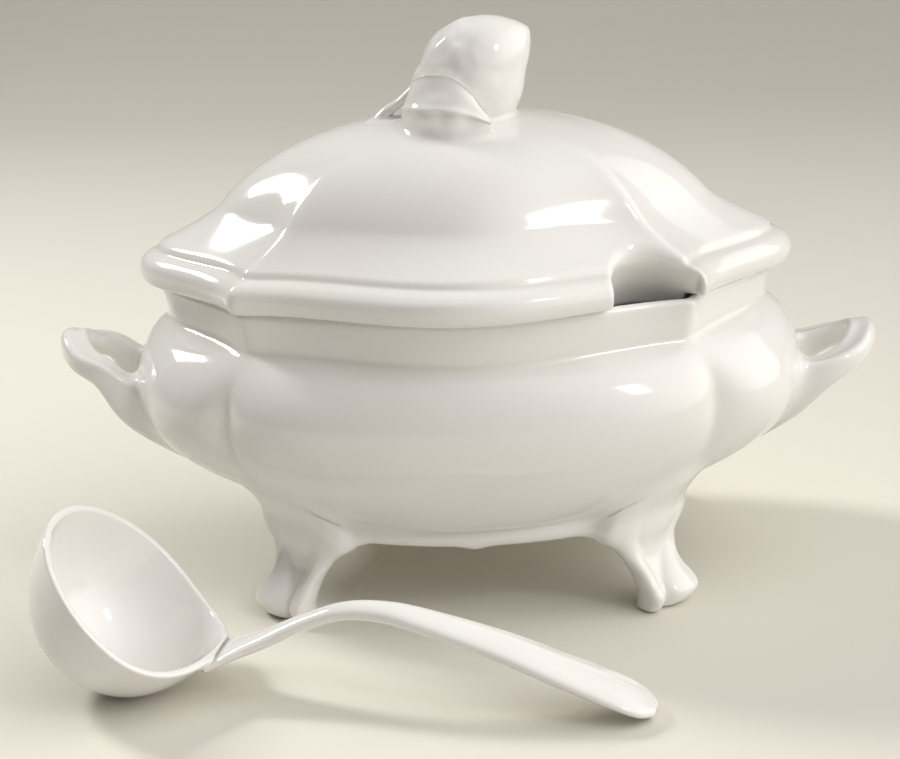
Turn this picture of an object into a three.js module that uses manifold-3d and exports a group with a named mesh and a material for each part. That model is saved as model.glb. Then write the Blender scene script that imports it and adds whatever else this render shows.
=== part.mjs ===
// A glazed earthenware soup tureen: a lobed bowl on four scroll feet, two loop handles,
// a domed lid with a fruit finial and a ladle notch, and a ladle lying in front of it.
// Millimetres, +Z up, front towards -Y.
import * as THREE from 'three';
import { mergeVertices } from 'three/addons/utils/BufferGeometryUtils.js';
import Module from 'manifold-3d';

const wasm = await Module();
wasm.setup();

// Driving dimensions

// Clearance between pieces that touch
const GAP = 0.3;

// Bowl: height of the apron's edge, and the heights above it of the floor and of the widest line
const LIP_Z = 36.5;
const FLOOR_RISE = 15.5;
const BELLY_RISE = 55.5;
// Height from the belly's widest line to the crease under the neck, at the ends, and of the neck above it
const SHOULDER_HEIGHT = 32.8;
const NECK_HEIGHT = 16.2;
// How far the crease sinks from the ends to the middle of the front, and at the corners
const CREASE_DIP = 5.2;
const CREASE_CORNER_DIP = 2.8;
// How far the belly's lower seam climbs at the corners, over the knees of the feet
const SEAM_CLIMB = 14;
// Half length and half width at the apron, the belly and the rim, and the corner between two lobes there
const LIP_HALF = [103, 88];
const LIP_CORNER = [79, 66];
const SEAM_CORNER = [90.5, 65.5];
const BELLY_HALF = [154.5, 105];
const BELLY_CORNER = [106, 72.5];
const RIM_HALF = [141.5, 93];
const RIM_CORNER = [99.5, 66];
const NECK_FLARE = 3.2;
const WALL = 6;
const LIP_HEIGHT = 7;
const LIP_THICK = 5;
const LIP_ROUND = 2;
const LIP_CUSP = 1.6;
const RIM_ROUND = 1.2;
// Height of the belly's seam above the apron's rolled lip, and how far the widest line sinks at the front
const SEAM_RISE = 1.5;
const BELLY_DIP = 3;
const FLOOR_HALF = [92, 72];
const FLOOR_CORNER = [66, 51];

// Lid: overhang past the bowl's rim, and heights above its seat
const LID_OVERHANG = 9;
const LID_CORNER_OVERHANG = 4.3;
const LID_EDGE_RISE = 6.2;
const LID_STEP_RISE = 16.2;
const LID_STEP_INSET = 9.4;
const LID_BEAD = 2;
const LID_WAIST_RISE = 34;
const LID_WAIST_HALF = [111.5, 72];
const LID_WAIST_CORNER = [77, 51.3];
const LID_HEIGHT = 73.2;
const LID_WALL = 5.5;
const FLANGE_DEPTH = 8;
const FLANGE_PLAY = 1.6;
const FLANGE_THICK = 5;
const FLANGE_TAPER = 1;
// Notch for the ladle's handle: its place from the lid's right front corner, half width, depth, turn,
// how far its deepest point lies to the left of its middle, its reach past the rim, how far its wall
// runs in under the lid at the flange's foot, and how thick that wall is
const NOTCH_SHIFT = [-19.8, -6.2];
const NOTCH_HALF_WIDTH = 21;
const NOTCH_DEPTH = 17;
const NOTCH_TURN = 15.4;
const NOTCH_LEAN = 6;
const NOTCH_REACH = 28;
const NOTCH_UNDERCUT = 15;
const NOTCH_WALL = 5;

// Finial: a lemon lying on a low collar, its tip up, with a leaf and a stem
const FRUIT_X = 6;
const FRUIT_RISE = 20;
const FRUIT_HALF_LENGTH = 31;
const FRUIT_RADIUS = 21.6;
const FRUIT_TILT = 32;
const COLLAR_X = 5;
const COLLAR_RADII = [22, 18];
const COLLAR_SINK = 10;
const LEAF_HEIGHT = 22;
const LEAF_RIB = 1.2;
const STEM_RADIUS = 2.6;

// Feet: heights of toe and ankle, how far they stand out from the lip's corner, and their widths
const TOE_Z = 7.5;
const TOE_OUT = 14.5;
const TOE_WIDTH = 32;
const ANKLE_Z = 23;
const ANKLE_OUT = 1.8;
const ANKLE_WIDTH = 32;
const KNEE_WIDTH = 55;
const FOOT_DEPTH = 15;
const FOOT_TURN = -42;

// Handles: reach past the belly, and the strap's size; the tips rise differently above its widest line
const HANDLE_OUT = 35.5;
const LOOP_HALF_WIDTH = 22;
const LOOP_HEIGHT = 13;
const LOOP_WIDTH = 14;
const LOOP_TROUGH = 2.2;
const TIP_RISE_LEFT = 20;
const TIP_RISE_RIGHT = 12;

// Ladle: the cup, how it leans, and where it lies in front of the bowl
const CUP_RADIUS = 42.4;
const CUP_FLARE = 4;
const CUP_DEPTH = 42;
const CUP_WALL = 4;
const CUP_CROWN = 1;
const CUP_TILT = 48;
const CUP_LIP_DRAW = -3.8;
const CUP_LIP_RISE = 14;
const LADLE_X = -145;
const LADLE_FORWARD = 33.4;
const LADLE_TURN = -11.5;
const LADLE_LENGTH = 220;
const LADLE_ARCH = 40.4;
const LADLE_THICK = 9;
const LADLE_WIDTH = 29;
const LADLE_NECK = 11;

const glaze = new THREE.MeshStandardMaterial({ color: 0xf1ebdf, roughness: 0.12, metalness: 0 });

// Solids and surfaces

function toSolid(geometry) {
  const merged = mergeVertices(geometry, 1e-4);
  return new wasm.Manifold(new wasm.Mesh({
    numProp: 3,
    vertProperties: new Float32Array(merged.attributes.position.array),
    triVerts: new Uint32Array(merged.index.array),
  }));
}

function toGeometry(solid) {
  const mesh = solid.getMesh();
  const geometry = new THREE.BufferGeometry();
  geometry.setAttribute('position', new THREE.BufferAttribute(mesh.vertProperties, 3));
  geometry.setIndex(new THREE.BufferAttribute(mesh.triVerts, 1));
  geometry.computeVertexNormals();
  return geometry;
}

function bare(geometry) {
  geometry.deleteAttribute('normal');
  geometry.deleteAttribute('uv');
  return mergeVertices(geometry, 1e-4);
}

function middle(ring) {
  const sum = ring.reduce((total, point) => total.add(point), new THREE.Vector3());
  return sum.divideScalar(ring.length);
}

// A closed skin through rings of equal count, with a fan over its first and last ring
function loft(rings, start = middle(rings[0]), end = middle(rings.at(-1))) {
  const count = rings[0].length;
  const points = [...rings.flat(), start, end];
  const startIndex = points.length - 2;
  const endIndex = points.length - 1;
  const lastRing = (rings.length - 1) * count;
  const faces = [];
  for (let j = 0; j < count; j += 1) {
    const next = (j + 1) % count;
    faces.push(startIndex, next, j);
    for (let i = 0; i < rings.length - 1; i += 1) {
      const low = i * count;
      const high = low + count;
      faces.push(low + j, low + next, high + next);
      faces.push(low + j, high + next, high + j);
    }
    faces.push(lastRing + j, lastRing + next, endIndex);
  }
  const geometry = new THREE.BufferGeometry();
  geometry.setAttribute('position', new THREE.Float32BufferAttribute(points.flatMap((p) => p.toArray()), 3));
  geometry.setIndex(faces);
  return geometry;
}

// A smooth run of numbers through rows of equal length, sampled evenly
function smooth(rows, count) {
  const run = new THREE.CubicInterpolant(rows.map((row, i) => i), rows.flat(), rows[0].length);
  const last = rows.length - 1;
  return Array.from({ length: count }, (unused, i) => Array.from(run.evaluate((i * last) / (count - 1))));
}

// The four-lobed plan

// Segments along half a front lobe, half an end lobe
const FRONT_STEPS = 8;
const END_STEPS = 6;

// How far a lobe stands out, from 0 at its corner to 1 in its middle. Fullness 0 is a bracket curve with
// hollow flanks, 1 an ellipse, and beyond 1 the lobe swells so that the corner becomes a valley.
function lobe(u, fullness) {
  const bracket = Math.cos((Math.PI / 2) * u) ** 2;
  const ellipse = (Math.sqrt(1 - (u * u) / 2) - Math.SQRT1_2) / (1 - Math.SQRT1_2);
  const round = Math.sqrt(Math.max(0, 1 - u * u));
  return fullness < 1
    ? bracket + (ellipse - bracket) * fullness
    : ellipse + (round - ellipse) * (fullness - 1);
}

// Fullness of the plan at each level, and how much fuller the belly's end lobes are
const FULLNESS = {
  lip: 0.9,
  seam: 0.95,
  belly: 1.5,
  crease: 0.45,
  rim: 0.15,
  floor: 1,
  lidRim: 0.1,
  lidWaist: 0.25,
  lidPole: 1.6,
};
const END_SWELL = 0.4;

// One level of a lobed form: heights at the front, end and corner, half sizes, corner point,
// and the fullness of the front and end lobes
const HEIGHTS = 3;

function level(z, [long, wide], [cornerX, cornerY], fullness, { front = 0, corner = 0, ends = 0 } = {}) {
  return [z + front, z, z + corner, long, wide, cornerX, cornerY, fullness, fullness + ends];
}

function ring([zFront, zEnd, zCorner, long, wide, cornerX, cornerY, fullFront, fullEnd], shape = (x) => x) {
  const points = [];
  for (let side = 0; side < 4; side += 1) {
    const isEnd = side % 2 === 1;
    const steps = isEnd ? END_STEPS : FRONT_STEPS;
    const sign = side < 2 ? 1 : -1;
    for (let i = -steps; i < steps; i += 1) {
      const u = Math.sin((Math.PI / 2) * (i / steps));
      const out = lobe(u, isEnd ? fullEnd : fullFront);
      const z = zCorner + ((isEnd ? zEnd : zFront) - zCorner) * (1 - u * u);
      const along = (isEnd ? cornerY : cornerX) * u * sign;
      const away = isEnd ? cornerX + (long - cornerX) * out : cornerY + (wide - cornerY) * out;
      const point = isEnd
        ? new THREE.Vector3(away * sign, along, z)
        : new THREE.Vector3(along, -away * sign, z);
      points.push(shape(point, u, isEnd));
    }
  }
  return points;
}

// The same level grown outwards in plan, its corners along their diagonal
const DIAGONAL = 0.75;

function grown(row, amount) {
  const [zFront, zEnd, zCorner, long, wide, cornerX, cornerY, ...fullness] = row;
  const share = amount * DIAGONAL;
  return [zFront, zEnd, zCorner, long + amount, wide + amount, cornerX + share, cornerY + share, ...fullness];
}

function raised(row, amount) {
  return row.map((value, i) => (i < HEIGHTS ? value + amount : value));
}

// Levels between two others. The bend is the two handles of a curve that leads from one to the other,
// each as its share of the change in size and in height.
function curved(from, to, bend, count) {
  const [first, second] = bend.map(([size, height]) => new THREE.Vector2(size, height));
  const curve = new THREE.CubicBezierCurve(new THREE.Vector2(0, 0), first, second, new THREE.Vector2(1, 1));
  return curve.getPoints(count).map(({ x, y }) => (
    from.map((value, i) => value + (to[i] - value) * (i < HEIGHTS ? y : x))
  ));
}

// Bowl

const FLOOR_Z = LIP_Z + FLOOR_RISE;
const CEILING_Z = FLOOR_Z - WALL;
const BELLY_Z = LIP_Z + BELLY_RISE;
const CREASE_Z = BELLY_Z + SHOULDER_HEIGHT;
const RIM_Z = CREASE_Z + NECK_HEIGHT;

// Bends of the profile: the belly's underside, its shoulder, and the flare of the neck
const UNDER_BEND = [[0.35, 0.12], [1, 0.5]];
const SHOULDER_BEND = [[0.5, 0.1], [1, 0.5]];
const FLARE_BEND = [[0, 1 / 3], [1 / 3, 2 / 3]];
const UNDER_STEPS = 7;
const SHOULDER_STEPS = 5;
const NECK_STEPS = 3;

const lip = level(LIP_Z + LIP_HEIGHT / 2, LIP_HALF, LIP_CORNER, FULLNESS.lip);
const lipFoot = raised(grown(lip, -LIP_ROUND), -LIP_HEIGHT / 2);
const lipInner = grown(lipFoot, -LIP_THICK);
const lipTop = raised(grown(lip, -LIP_ROUND / 2), LIP_HEIGHT / 2);
const seamZ = LIP_Z + LIP_HEIGHT + SEAM_RISE;
const seam = level(seamZ, LIP_HALF, SEAM_CORNER, FULLNESS.seam, { corner: SEAM_CLIMB });
const bellySwell = { front: -BELLY_DIP, ends: END_SWELL };
const belly = level(BELLY_Z, BELLY_HALF, BELLY_CORNER, FULLNESS.belly, bellySwell);
const rim = level(RIM_Z - RIM_ROUND, RIM_HALF, RIM_CORNER, FULLNESS.rim);
const creaseDips = { front: -CREASE_DIP, corner: -CREASE_CORNER_DIP };
const crease = level(CREASE_Z, RIM_HALF, RIM_CORNER, FULLNESS.crease, creaseDips);
const neckFoot = grown(crease, -NECK_FLARE);
const rimCrown = raised(grown(rim, -1.5 * RIM_ROUND), RIM_ROUND);
const mouth = raised(grown(rim, -WALL), RIM_ROUND);
const floorEdge = level(FLOOR_Z, FLOOR_HALF, FLOOR_CORNER, FULLNESS.floor);

const under = curved(seam, belly, UNDER_BEND, UNDER_STEPS);
const shoulder = curved(neckFoot, belly, SHOULDER_BEND, SHOULDER_STEPS).reverse();
const neck = curved(neckFoot, rim, FLARE_BEND, NECK_STEPS);
const APRON_RINGS = 4;
const outside = [
  ...smooth([lipFoot, lip, lipTop], APRON_RINGS),
  ...under,
  ...shoulder.slice(1),
  ...neck.slice(1),
];
const innerCrease = grown(neckFoot, -WALL);
const innerBelly = grown(belly, -WALL);
const inside = [
  mouth,
  ...curved(mouth, innerCrease, FLARE_BEND, NECK_STEPS).slice(1),
  ...curved(innerCrease, innerBelly, SHOULDER_BEND, SHOULDER_STEPS - 1).slice(1),
  ...curved(floorEdge, innerBelly, UNDER_BEND, UNDER_STEPS - 1).reverse().slice(1),
];

// The small point at the middle of the front and back of the apron's edge
function withCusp(point, u, isEnd) {
  return u === 0 && !isEnd ? point.setZ(point.z - LIP_CUSP) : point;
}

// The hollow under the floor, and the outside up to the rim, grown by a gap
const CEILING_INSET = 4;

function bowlRings(gap) {
  const ceiling = raised(grown(lipInner, -CEILING_INSET - gap), CEILING_Z - LIP_Z - gap);
  return [
    ring(ceiling),
    ring(raised(grown(lipInner, -gap), -gap), withCusp),
    ring(raised(grown(lipFoot, gap), -gap), withCusp),
    ...outside.slice(1).map((row) => ring(grown(row, gap))),
  ];
}

function bowlGeometry() {
  const rings = [...bowlRings(0), ring(rimCrown), ...inside.map((row) => ring(row))];
  return loft(rings, new THREE.Vector3(0, 0, CEILING_Z), new THREE.Vector3(0, 0, FLOOR_Z));
}

// The bowl without its hollow, grown by the clearance, to fit feet and handles against
const envelope = toSolid(loft(
  bowlRings(GAP),
  new THREE.Vector3(0, 0, CEILING_Z - GAP),
  new THREE.Vector3(0, 0, RIM_Z),
));

// Feet

// Each level of the right front foot: height, how far its face stands out from the lip's corner, width,
// swell of the face, depth behind it, height of the ridge along its front edge, height and share of the width
// of the roll along its end edge, which grows into the toe, and how far it leans towards the end lobe
const footLevels = [
  [0, TOE_OUT - 8, TOE_WIDTH - 7, 0, FOOT_DEPTH - 2, 2.5, 3.5, 0.7, 0.4],
  [TOE_Z / 3, TOE_OUT - 4.6, TOE_WIDTH - 2, 0, FOOT_DEPTH, 3.2, 5.4, 0.7, 1],
  [TOE_Z, TOE_OUT - 3, TOE_WIDTH, 0, FOOT_DEPTH + 2, 3.5, 6.4, 0.7, 1.5],
  [TOE_Z + 5, TOE_OUT - 5.5, TOE_WIDTH - 1, 0, FOOT_DEPTH + 1, 3.4, 5.4, 0.65, 1],
  [TOE_Z + 10, ANKLE_OUT + 3.5, ANKLE_WIDTH - 3, 0.5, FOOT_DEPTH, 3.2, 3.6, 0.5, 0],
  [ANKLE_Z, ANKLE_OUT, ANKLE_WIDTH, 1, FOOT_DEPTH - 1, 3, 2.4, 0.35, -0.6],
  [(ANKLE_Z + LIP_Z) / 2, ANKLE_OUT - 4.3, ANKLE_WIDTH + 9, 4.5, FOOT_DEPTH - 1, 2.8, 2, 0.3, 0],
  [LIP_Z, ANKLE_OUT - 7.1, KNEE_WIDTH, 9, FOOT_DEPTH, 2.2, 1.6, 0.25, 1],
  [LIP_Z + 9.5, ANKLE_OUT - 4.4, KNEE_WIDTH - 5, 8, FOOT_DEPTH - 1, 1.2, 1, 0.25, 2.5],
  [LIP_Z + 17.5, ANKLE_OUT + 1.1, KNEE_WIDTH - 19, 6.5, FOOT_DEPTH - 5, 0.4, 0.4, 0.25, 5],
  [LIP_Z + 23.5, ANKLE_OUT + 6.4, KNEE_WIDTH - 37, 3.5, FOOT_DEPTH - 9, 0, 0, 0.25, 8],
  [LIP_Z + 29.5, ANKLE_OUT + 7.5, KNEE_WIDTH - 46, 0, FOOT_DEPTH - 11, 0, 0, 0.25, 10],
];
const FOOT_RINGS = 21;
const FACE_STEPS = 8;
const RIDGE_SHARE = 0.25;
const BACK_STEPS = 6;

const footOut = new THREE.Vector3(1, 0, 0).applyAxisAngle(
  new THREE.Vector3(0, 0, 1),
  THREE.MathUtils.degToRad(FOOT_TURN),
);
const footAcross = new THREE.Vector3(-footOut.y, footOut.x, 0);

// A rounded roll of a share of the width, beside one edge of the face
function roll(side, share) {
  return Math.sqrt(Math.max(0, 1 - ((side - 1 + share) / share) ** 2));
}

function footRing([z, stand, width, swell, depth, ridge, toe, toeShare, lean]) {
  const heart = new THREE.Vector3(LIP_CORNER[0], -LIP_CORNER[1], z)
    .addScaledVector(footOut, stand)
    .addScaledVector(footAcross, lean);
  const at = (side, out) => heart.clone()
    .addScaledVector(footAcross, (side * width) / 2)
    .addScaledVector(footOut, out);
  const points = [];
  for (let i = 0; i <= FACE_STEPS; i += 1) {
    const side = (2 * i) / FACE_STEPS - 1;
    const rolls = ridge * roll(-side, RIDGE_SHARE) + toe * roll(side, toeShare);
    points.push(at(side, swell * (1 - side * side) + rolls));
  }
  for (let i = 1; i < BACK_STEPS; i += 1) {
    const side = 1 - (2 * i) / BACK_STEPS;
    points.push(at(side, (swell / 2) * (1 - side * side) - depth * Math.sqrt(1 - side * side)));
  }
  return points;
}

// A skin mirrored in X and Y as its signs say
function mirrored(skin, signX, signY) {
  skin.scale(signX, signY, 1);
  if (signX * signY < 0) {
    const index = skin.index.array;
    for (let i = 0; i < index.length; i += 3) {
      [index[i], index[i + 1]] = [index[i + 1], index[i]];
    }
  }
  return skin;
}

function footGeometry(signX, signY) {
  const skin = loft(smooth(footLevels, FOOT_RINGS).map(footRing));
  return toGeometry(toSolid(mirrored(skin, signX, signY)).subtract(envelope));
}

// Handles

// Half length of the belly under its widest line, at a height in the middle of an end lobe
function bellyAt(z) {
  const next = under.findIndex((row) => row[1] >= z);
  const [low, high] = [under[next - 1], under[next]];
  return low[3] + ((high[3] - low[3]) * (z - low[1])) / (high[1] - low[1]);
}

// Half of the right handle's run: from the tail low on the belly, up the body, out along the near arm
// to the outer end. Each row is a point, then the width and height of the strap there.
function handleRows(tipRise) {
  const reach = BELLY_HALF[0] + HANDLE_OUT - LOOP_WIDTH / 2;
  const tipZ = BELLY_Z + tipRise;
  const out = (share) => BELLY_HALF[0] + (reach - BELLY_HALF[0]) * share;
  const tail = (drop, proud, side, width, height) => [
    bellyAt(BELLY_Z - drop) + proud, -LOOP_HALF_WIDTH * side, BELLY_Z - drop, width, height,
  ];
  return [
    tail(40, 2, 0.2, LOOP_WIDTH - 8, 7),
    tail(26, -3, 0.5, LOOP_WIDTH - 5, 12),
    tail(14, -4.5, 0.82, LOOP_WIDTH - 2, 19),
    tail(4, 1, 1, LOOP_WIDTH, 19),
    [out(0.42), -LOOP_HALF_WIDTH, tipZ - 10, LOOP_WIDTH - 1, LOOP_HEIGHT + 0.5],
    [out(0.8), -LOOP_HALF_WIDTH + 7, tipZ - 4.5, LOOP_WIDTH, LOOP_HEIGHT - 1],
    [reach, 0, tipZ + 0.5, LOOP_WIDTH, LOOP_HEIGHT],
  ];
}

const HANDLE_RINGS = 33;
const STRAP_STEPS = 12;
const STRAP_SQUARENESS = 0.7;

// The strap's section: a rounded oblong, level across, with a trough along its upper side
function strapRing(row, before, after) {
  const [x, y, z, width, height] = row;
  const run = new THREE.Vector3(after[0] - before[0], after[1] - before[1], after[2] - before[2]).normalize();
  const side = new THREE.Vector3(-run.y, run.x, 0).normalize();
  const up = run.clone().cross(side);
  const squared = (value) => Math.sign(value) * Math.abs(value) ** STRAP_SQUARENESS;
  return Array.from({ length: STRAP_STEPS }, (unused, i) => {
    const angle = (2 * Math.PI * i) / STRAP_STEPS;
    const isTop = i * 4 === STRAP_STEPS;
    const trough = isTop ? LOOP_TROUGH * Math.min(1, width / LOOP_WIDTH) : 0;
    return new THREE.Vector3(x, y, z)
      .addScaledVector(side, (squared(Math.cos(angle)) * width) / 2)
      .addScaledVector(up, (squared(Math.sin(angle)) * height) / 2 - trough);
  });
}

function handleGeometry(tipRise, sign) {
  const half = handleRows(tipRise);
  const far = half.slice(0, -1).reverse().map(([x, y, ...rest]) => [x, -y, ...rest]);
  const rows = smooth([...half, ...far], HANDLE_RINGS);
  const last = rows.length - 1;
  const rings = rows.map((row, i) => strapRing(row, rows[Math.max(0, i - 1)], rows[Math.min(last, i + 1)]));
  return toGeometry(toSolid(mirrored(loft(rings), sign, 1)).subtract(envelope));
}

// Lid

const LID_BASE_Z = RIM_Z + GAP;
const LID_TOP_Z = LID_BASE_Z + LID_HEIGHT;
const HOLLOW_BEND = [[0.35, 0.26], [0.825, 0.69]];
const DOME_BEND = [[0.125, 0.41], [0.375, 1]];
const HOLLOW_STEPS = 4;
const DOME_STEPS = 8;
const NOTCH_STEPS = 6;
// The outer ring of the flange's foot, in the order of the lid's rings
const FLANGE_RING = DOME_STEPS + 2;

const lidRim = level(
  LID_BASE_Z + LID_EDGE_RISE,
  RIM_HALF.map((half) => half + LID_OVERHANG),
  RIM_CORNER.map((place) => place + LID_CORNER_OVERHANG),
  FULLNESS.lidRim,
);
const lidStep = raised(grown(lidRim, -LID_STEP_INSET), LID_STEP_RISE - LID_EDGE_RISE);
const lidBead = raised(grown(lidStep, -LID_BEAD), LID_BEAD);
const lidWaist = level(LID_BASE_Z + LID_WAIST_RISE, LID_WAIST_HALF, LID_WAIST_CORNER, FULLNESS.lidWaist);
const lidPole = level(LID_TOP_Z, [0, 0], [0, 0], FULLNESS.lidPole);
const hollow = curved(lidBead, lidWaist, HOLLOW_BEND, HOLLOW_STEPS);
const dome = curved(lidWaist, lidPole, DOME_BEND, DOME_STEPS).slice(0, -1);
const lidOutside = [...hollow, ...dome.slice(1)];

// Section of the lid's edge, as shares of the step's inset and height. Below its widest line it turns in
// to the seat, above it a rounded band leads to the step.
const SEAT_EDGE = [[0.23, 1], [0.06, 0.5]];
const BAND_EDGE = [[0, 0], [0.13, 0.4], [0.43, 0.66]];

function lidRings() {
  const bandHeight = LID_STEP_RISE - LID_EDGE_RISE;
  const edgeAt = (inset, rise) => raised(grown(lidRim, -inset * LID_STEP_INSET), rise);
  const edge = [
    ...SEAT_EDGE.map(([inset, drop]) => edgeAt(inset, -drop * LID_EDGE_RISE)),
    ...BAND_EDGE.map(([inset, rise]) => edgeAt(inset, rise * bandHeight)),
    lidStep,
  ];
  const shell = dome.map((row) => raised(grown(row, -LID_WALL * DIAGONAL), -LID_WALL * DIAGONAL)).reverse();
  const shellFoot = grown(lidStep, -LID_WALL - LID_STEP_INSET);
  const flangeTop = raised(grown(mouth, -FLANGE_PLAY), GAP);
  const flangeFoot = raised(grown(flangeTop, -FLANGE_TAPER), -FLANGE_DEPTH);
  const flange = [grown(flangeFoot, -FLANGE_THICK), flangeFoot, flangeTop];
  return [...shell, shellFoot, ...flange, ...edge, ...lidOutside].map((row) => ring(row));
}

// The notch: a rounded bay in the rim at the right front corner. Its wall drops straight from the band's top
// and then runs in under the lid, through the flange, so that the ladle's neck can slope into the bowl.
// Grown by the wall's thickness, the same form is the wall around it.
function notchSolid(amount) {
  const [wide, deep, peak] = [NOTCH_HALF_WIDTH + amount, NOTCH_DEPTH + amount, -NOTCH_LEAN];
  const bay = new THREE.Shape();
  bay.moveTo(wide, -NOTCH_REACH);
  bay.lineTo(wide, 0);
  bay.bezierCurveTo(wide * 0.6, deep / 2, peak + wide / 2, deep, peak, deep);
  bay.bezierCurveTo(peak - wide / 2, deep, -wide, deep / 2, -wide, 0);
  bay.lineTo(-wide, -NOTCH_REACH);
  const outline = bay.getPoints(NOTCH_STEPS);
  const levels = [
    [LID_BASE_Z - FLANGE_DEPTH - WALL, NOTCH_UNDERCUT],
    [LID_BASE_Z + LID_STEP_RISE, 0],
    [LID_TOP_Z, 0],
  ];
  const cutter = loft(levels.map(([z, under]) => (
    outline.map(({ x, y }) => new THREE.Vector3(x, y > 0 ? y + under : y, z))
  )));
  cutter.rotateZ(THREE.MathUtils.degToRad(NOTCH_TURN));
  cutter.translate(lidRim[5] + NOTCH_SHIFT[0], -lidRim[6] + NOTCH_SHIFT[1], 0);
  return toSolid(cutter);
}

function lidGeometry() {
  const rings = lidRings();
  const top = new THREE.Vector3(0, 0, LID_TOP_Z);
  const skin = toSolid(loft(rings, new THREE.Vector3(0, 0, LID_TOP_Z - LID_WALL), top));
  const filled = toSolid(loft(rings.slice(FLANGE_RING), middle(rings[FLANGE_RING]), top));
  const notchWall = notchSolid(NOTCH_WALL).intersect(filled);
  return toGeometry(skin.add(notchWall).subtract(notchSolid(0)));
}

// The outside of the dome as a filled solid, grown by the clearance, to seat the finial on
const lidTop = toSolid(loft(
  lidOutside.map((row) => ring(raised(grown(row, GAP), GAP))),
  new THREE.Vector3(0, 0, LID_BASE_Z),
  new THREE.Vector3(0, 0, LID_TOP_Z + GAP),
));

// Finial

const FRUIT_ROWS = 12;
const FRUIT_SIDES = 16;
const FRUIT_POINT = 1.6;

// The fruit's spindle outline turned about its own axis, on the collar that joins it to the lid,
// grown by an amount
function fruitSolid(amount) {
  const profile = Array.from({ length: FRUIT_ROWS + 1 }, (unused, i) => {
    const angle = (Math.PI * i) / FRUIT_ROWS;
    const radius = (FRUIT_RADIUS + amount) * Math.sin(angle) ** FRUIT_POINT;
    return new THREE.Vector2(radius, -(FRUIT_HALF_LENGTH + amount) * Math.cos(angle));
  });
  const fruitZ = LID_TOP_Z + FRUIT_RISE;
  const lemon = bare(new THREE.LatheGeometry(profile, FRUIT_SIDES));
  lemon.rotateX(Math.PI / 2);
  lemon.rotateY(THREE.MathUtils.degToRad(90 - FRUIT_TILT));
  lemon.translate(FRUIT_X, 0, fruitZ);
  const height = FRUIT_RISE + COLLAR_SINK;
  const [top, bottom] = COLLAR_RADII;
  const collar = bare(new THREE.CylinderGeometry(top + amount, bottom + amount, height, FRUIT_SIDES));
  collar.rotateX(Math.PI / 2);
  collar.translate(COLLAR_X, 0, fruitZ - height / 2);
  return toSolid(lemon).add(toSolid(collar));
}

const fruitFit = fruitSolid(GAP);

function fruitGeometry() {
  return toGeometry(fruitSolid(0).subtract(lidTop));
}

// A leaf lapped round the collar in front. Each row, from its broad end to its tip: angle round the collar,
// height of the upper edge as a share, and how far the upper edge, rib and lower edge stand off the collar
const leafRows = [
  [-153, 0.75, 7, 13, 16],
  [-128, 1, 6, 14, 19],
  [-107, 0.95, 4, 12, 17],
  [-90, 0.62, 4.5, 11, 15],
  [-74, 0, 8, 11, 12],
];
const LEAF_SECTIONS = 9;
const LEAF_STEPS = 6;
const LEAF_SINK = 0.55;
const LEAF_RIB_HEIGHT = 0.3;
const LEAF_FOOT = 9;

function leafRing([angle, share, ...stand]) {
  const heart = new THREE.Vector3(COLLAR_X, 0, LID_TOP_Z);
  const heading = new THREE.Vector3(1, 0, 0)
    .applyAxisAngle(new THREE.Vector3(0, 0, 1), THREE.MathUtils.degToRad(angle));
  const rises = [LEAF_HEIGHT * share, LEAF_HEIGHT * share * LEAF_RIB_HEIGHT, -LEAF_FOOT];
  const edges = stand.map((off, i) => (
    heart.clone().addScaledVector(heading, COLLAR_RADII[0] + off).setZ(LID_TOP_Z + rises[i])
  ));
  const face = new THREE.CatmullRomCurve3(edges).getPoints(LEAF_STEPS);
  face[LEAF_STEPS / 2].addScaledVector(heading, LEAF_RIB);
  const back = face.map((point) => point.clone().lerp(heart, LEAF_SINK)).reverse();
  return [...face, ...back];
}

function leafGeometry() {
  const skin = loft(smooth(leafRows, LEAF_SECTIONS).map(leafRing));
  return toGeometry(toSolid(skin).subtract(fruitFit).subtract(lidTop));
}

// The stem arches from the fruit's end down to the lid: distance from the collar's axis and height
// over the lid's top
const stemRun = [[15, 18.5], [25, 10.5], [32, 3.1], [39, -0.5], [48, -8.5]];
const STEM_STEPS = 12;

function stemGeometry() {
  const points = stemRun.map(([out, rise]) => new THREE.Vector3(COLLAR_X - out, 0, LID_TOP_Z + rise));
  const path = new THREE.CatmullRomCurve3(points);
  const round = new THREE.Shape().absellipse(0, 0, STEM_RADIUS, STEM_RADIUS, 0, Math.PI * 2);
  const tube = new THREE.ExtrudeGeometry(round, { extrudePath: path, steps: STEM_STEPS, curveSegments: 5 });
  return toGeometry(toSolid(bare(tube)).subtract(lidTop).subtract(fruitFit));
}

// Ladle

const CUP_STEPS = 28;
const CUP_PARTS = [0.05, 0.18, 0.36, 0.56, 0.78, 1];
const CUP_ROUNDNESS = 2.1;
const CUP_LIP_POINT = 3.5;
// How late along the depth the flare and the lip begin
const FLARE_POWER = 4;
const DRAW_POWER = 3;
const cupTilt = THREE.MathUtils.degToRad(CUP_TILT);

// A ring of the cup at a part of its depth, flared to the rim and drawn out to a lip towards the handle
function cupRing(part, inset, bottom, depth) {
  const body = (CUP_RADIUS - inset) * Math.sqrt(1 - (1 - part) ** CUP_ROUNDNESS);
  const across = body + CUP_FLARE * part ** FLARE_POWER;
  return Array.from({ length: CUP_STEPS }, (unused, i) => {
    const angle = (2 * Math.PI * i) / CUP_STEPS;
    const draw = part ** DRAW_POWER * Math.max(0, Math.cos(angle)) ** CUP_LIP_POINT;
    return new THREE.Vector3(
      (across + CUP_LIP_DRAW * draw) * Math.cos(angle),
      across * Math.sin(angle),
      bottom + depth * part + CUP_LIP_RISE * draw,
    );
  });
}

function cupOutside(gap) {
  return CUP_PARTS.map((part) => cupRing(part, -gap, -gap, CUP_DEPTH + gap));
}

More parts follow.
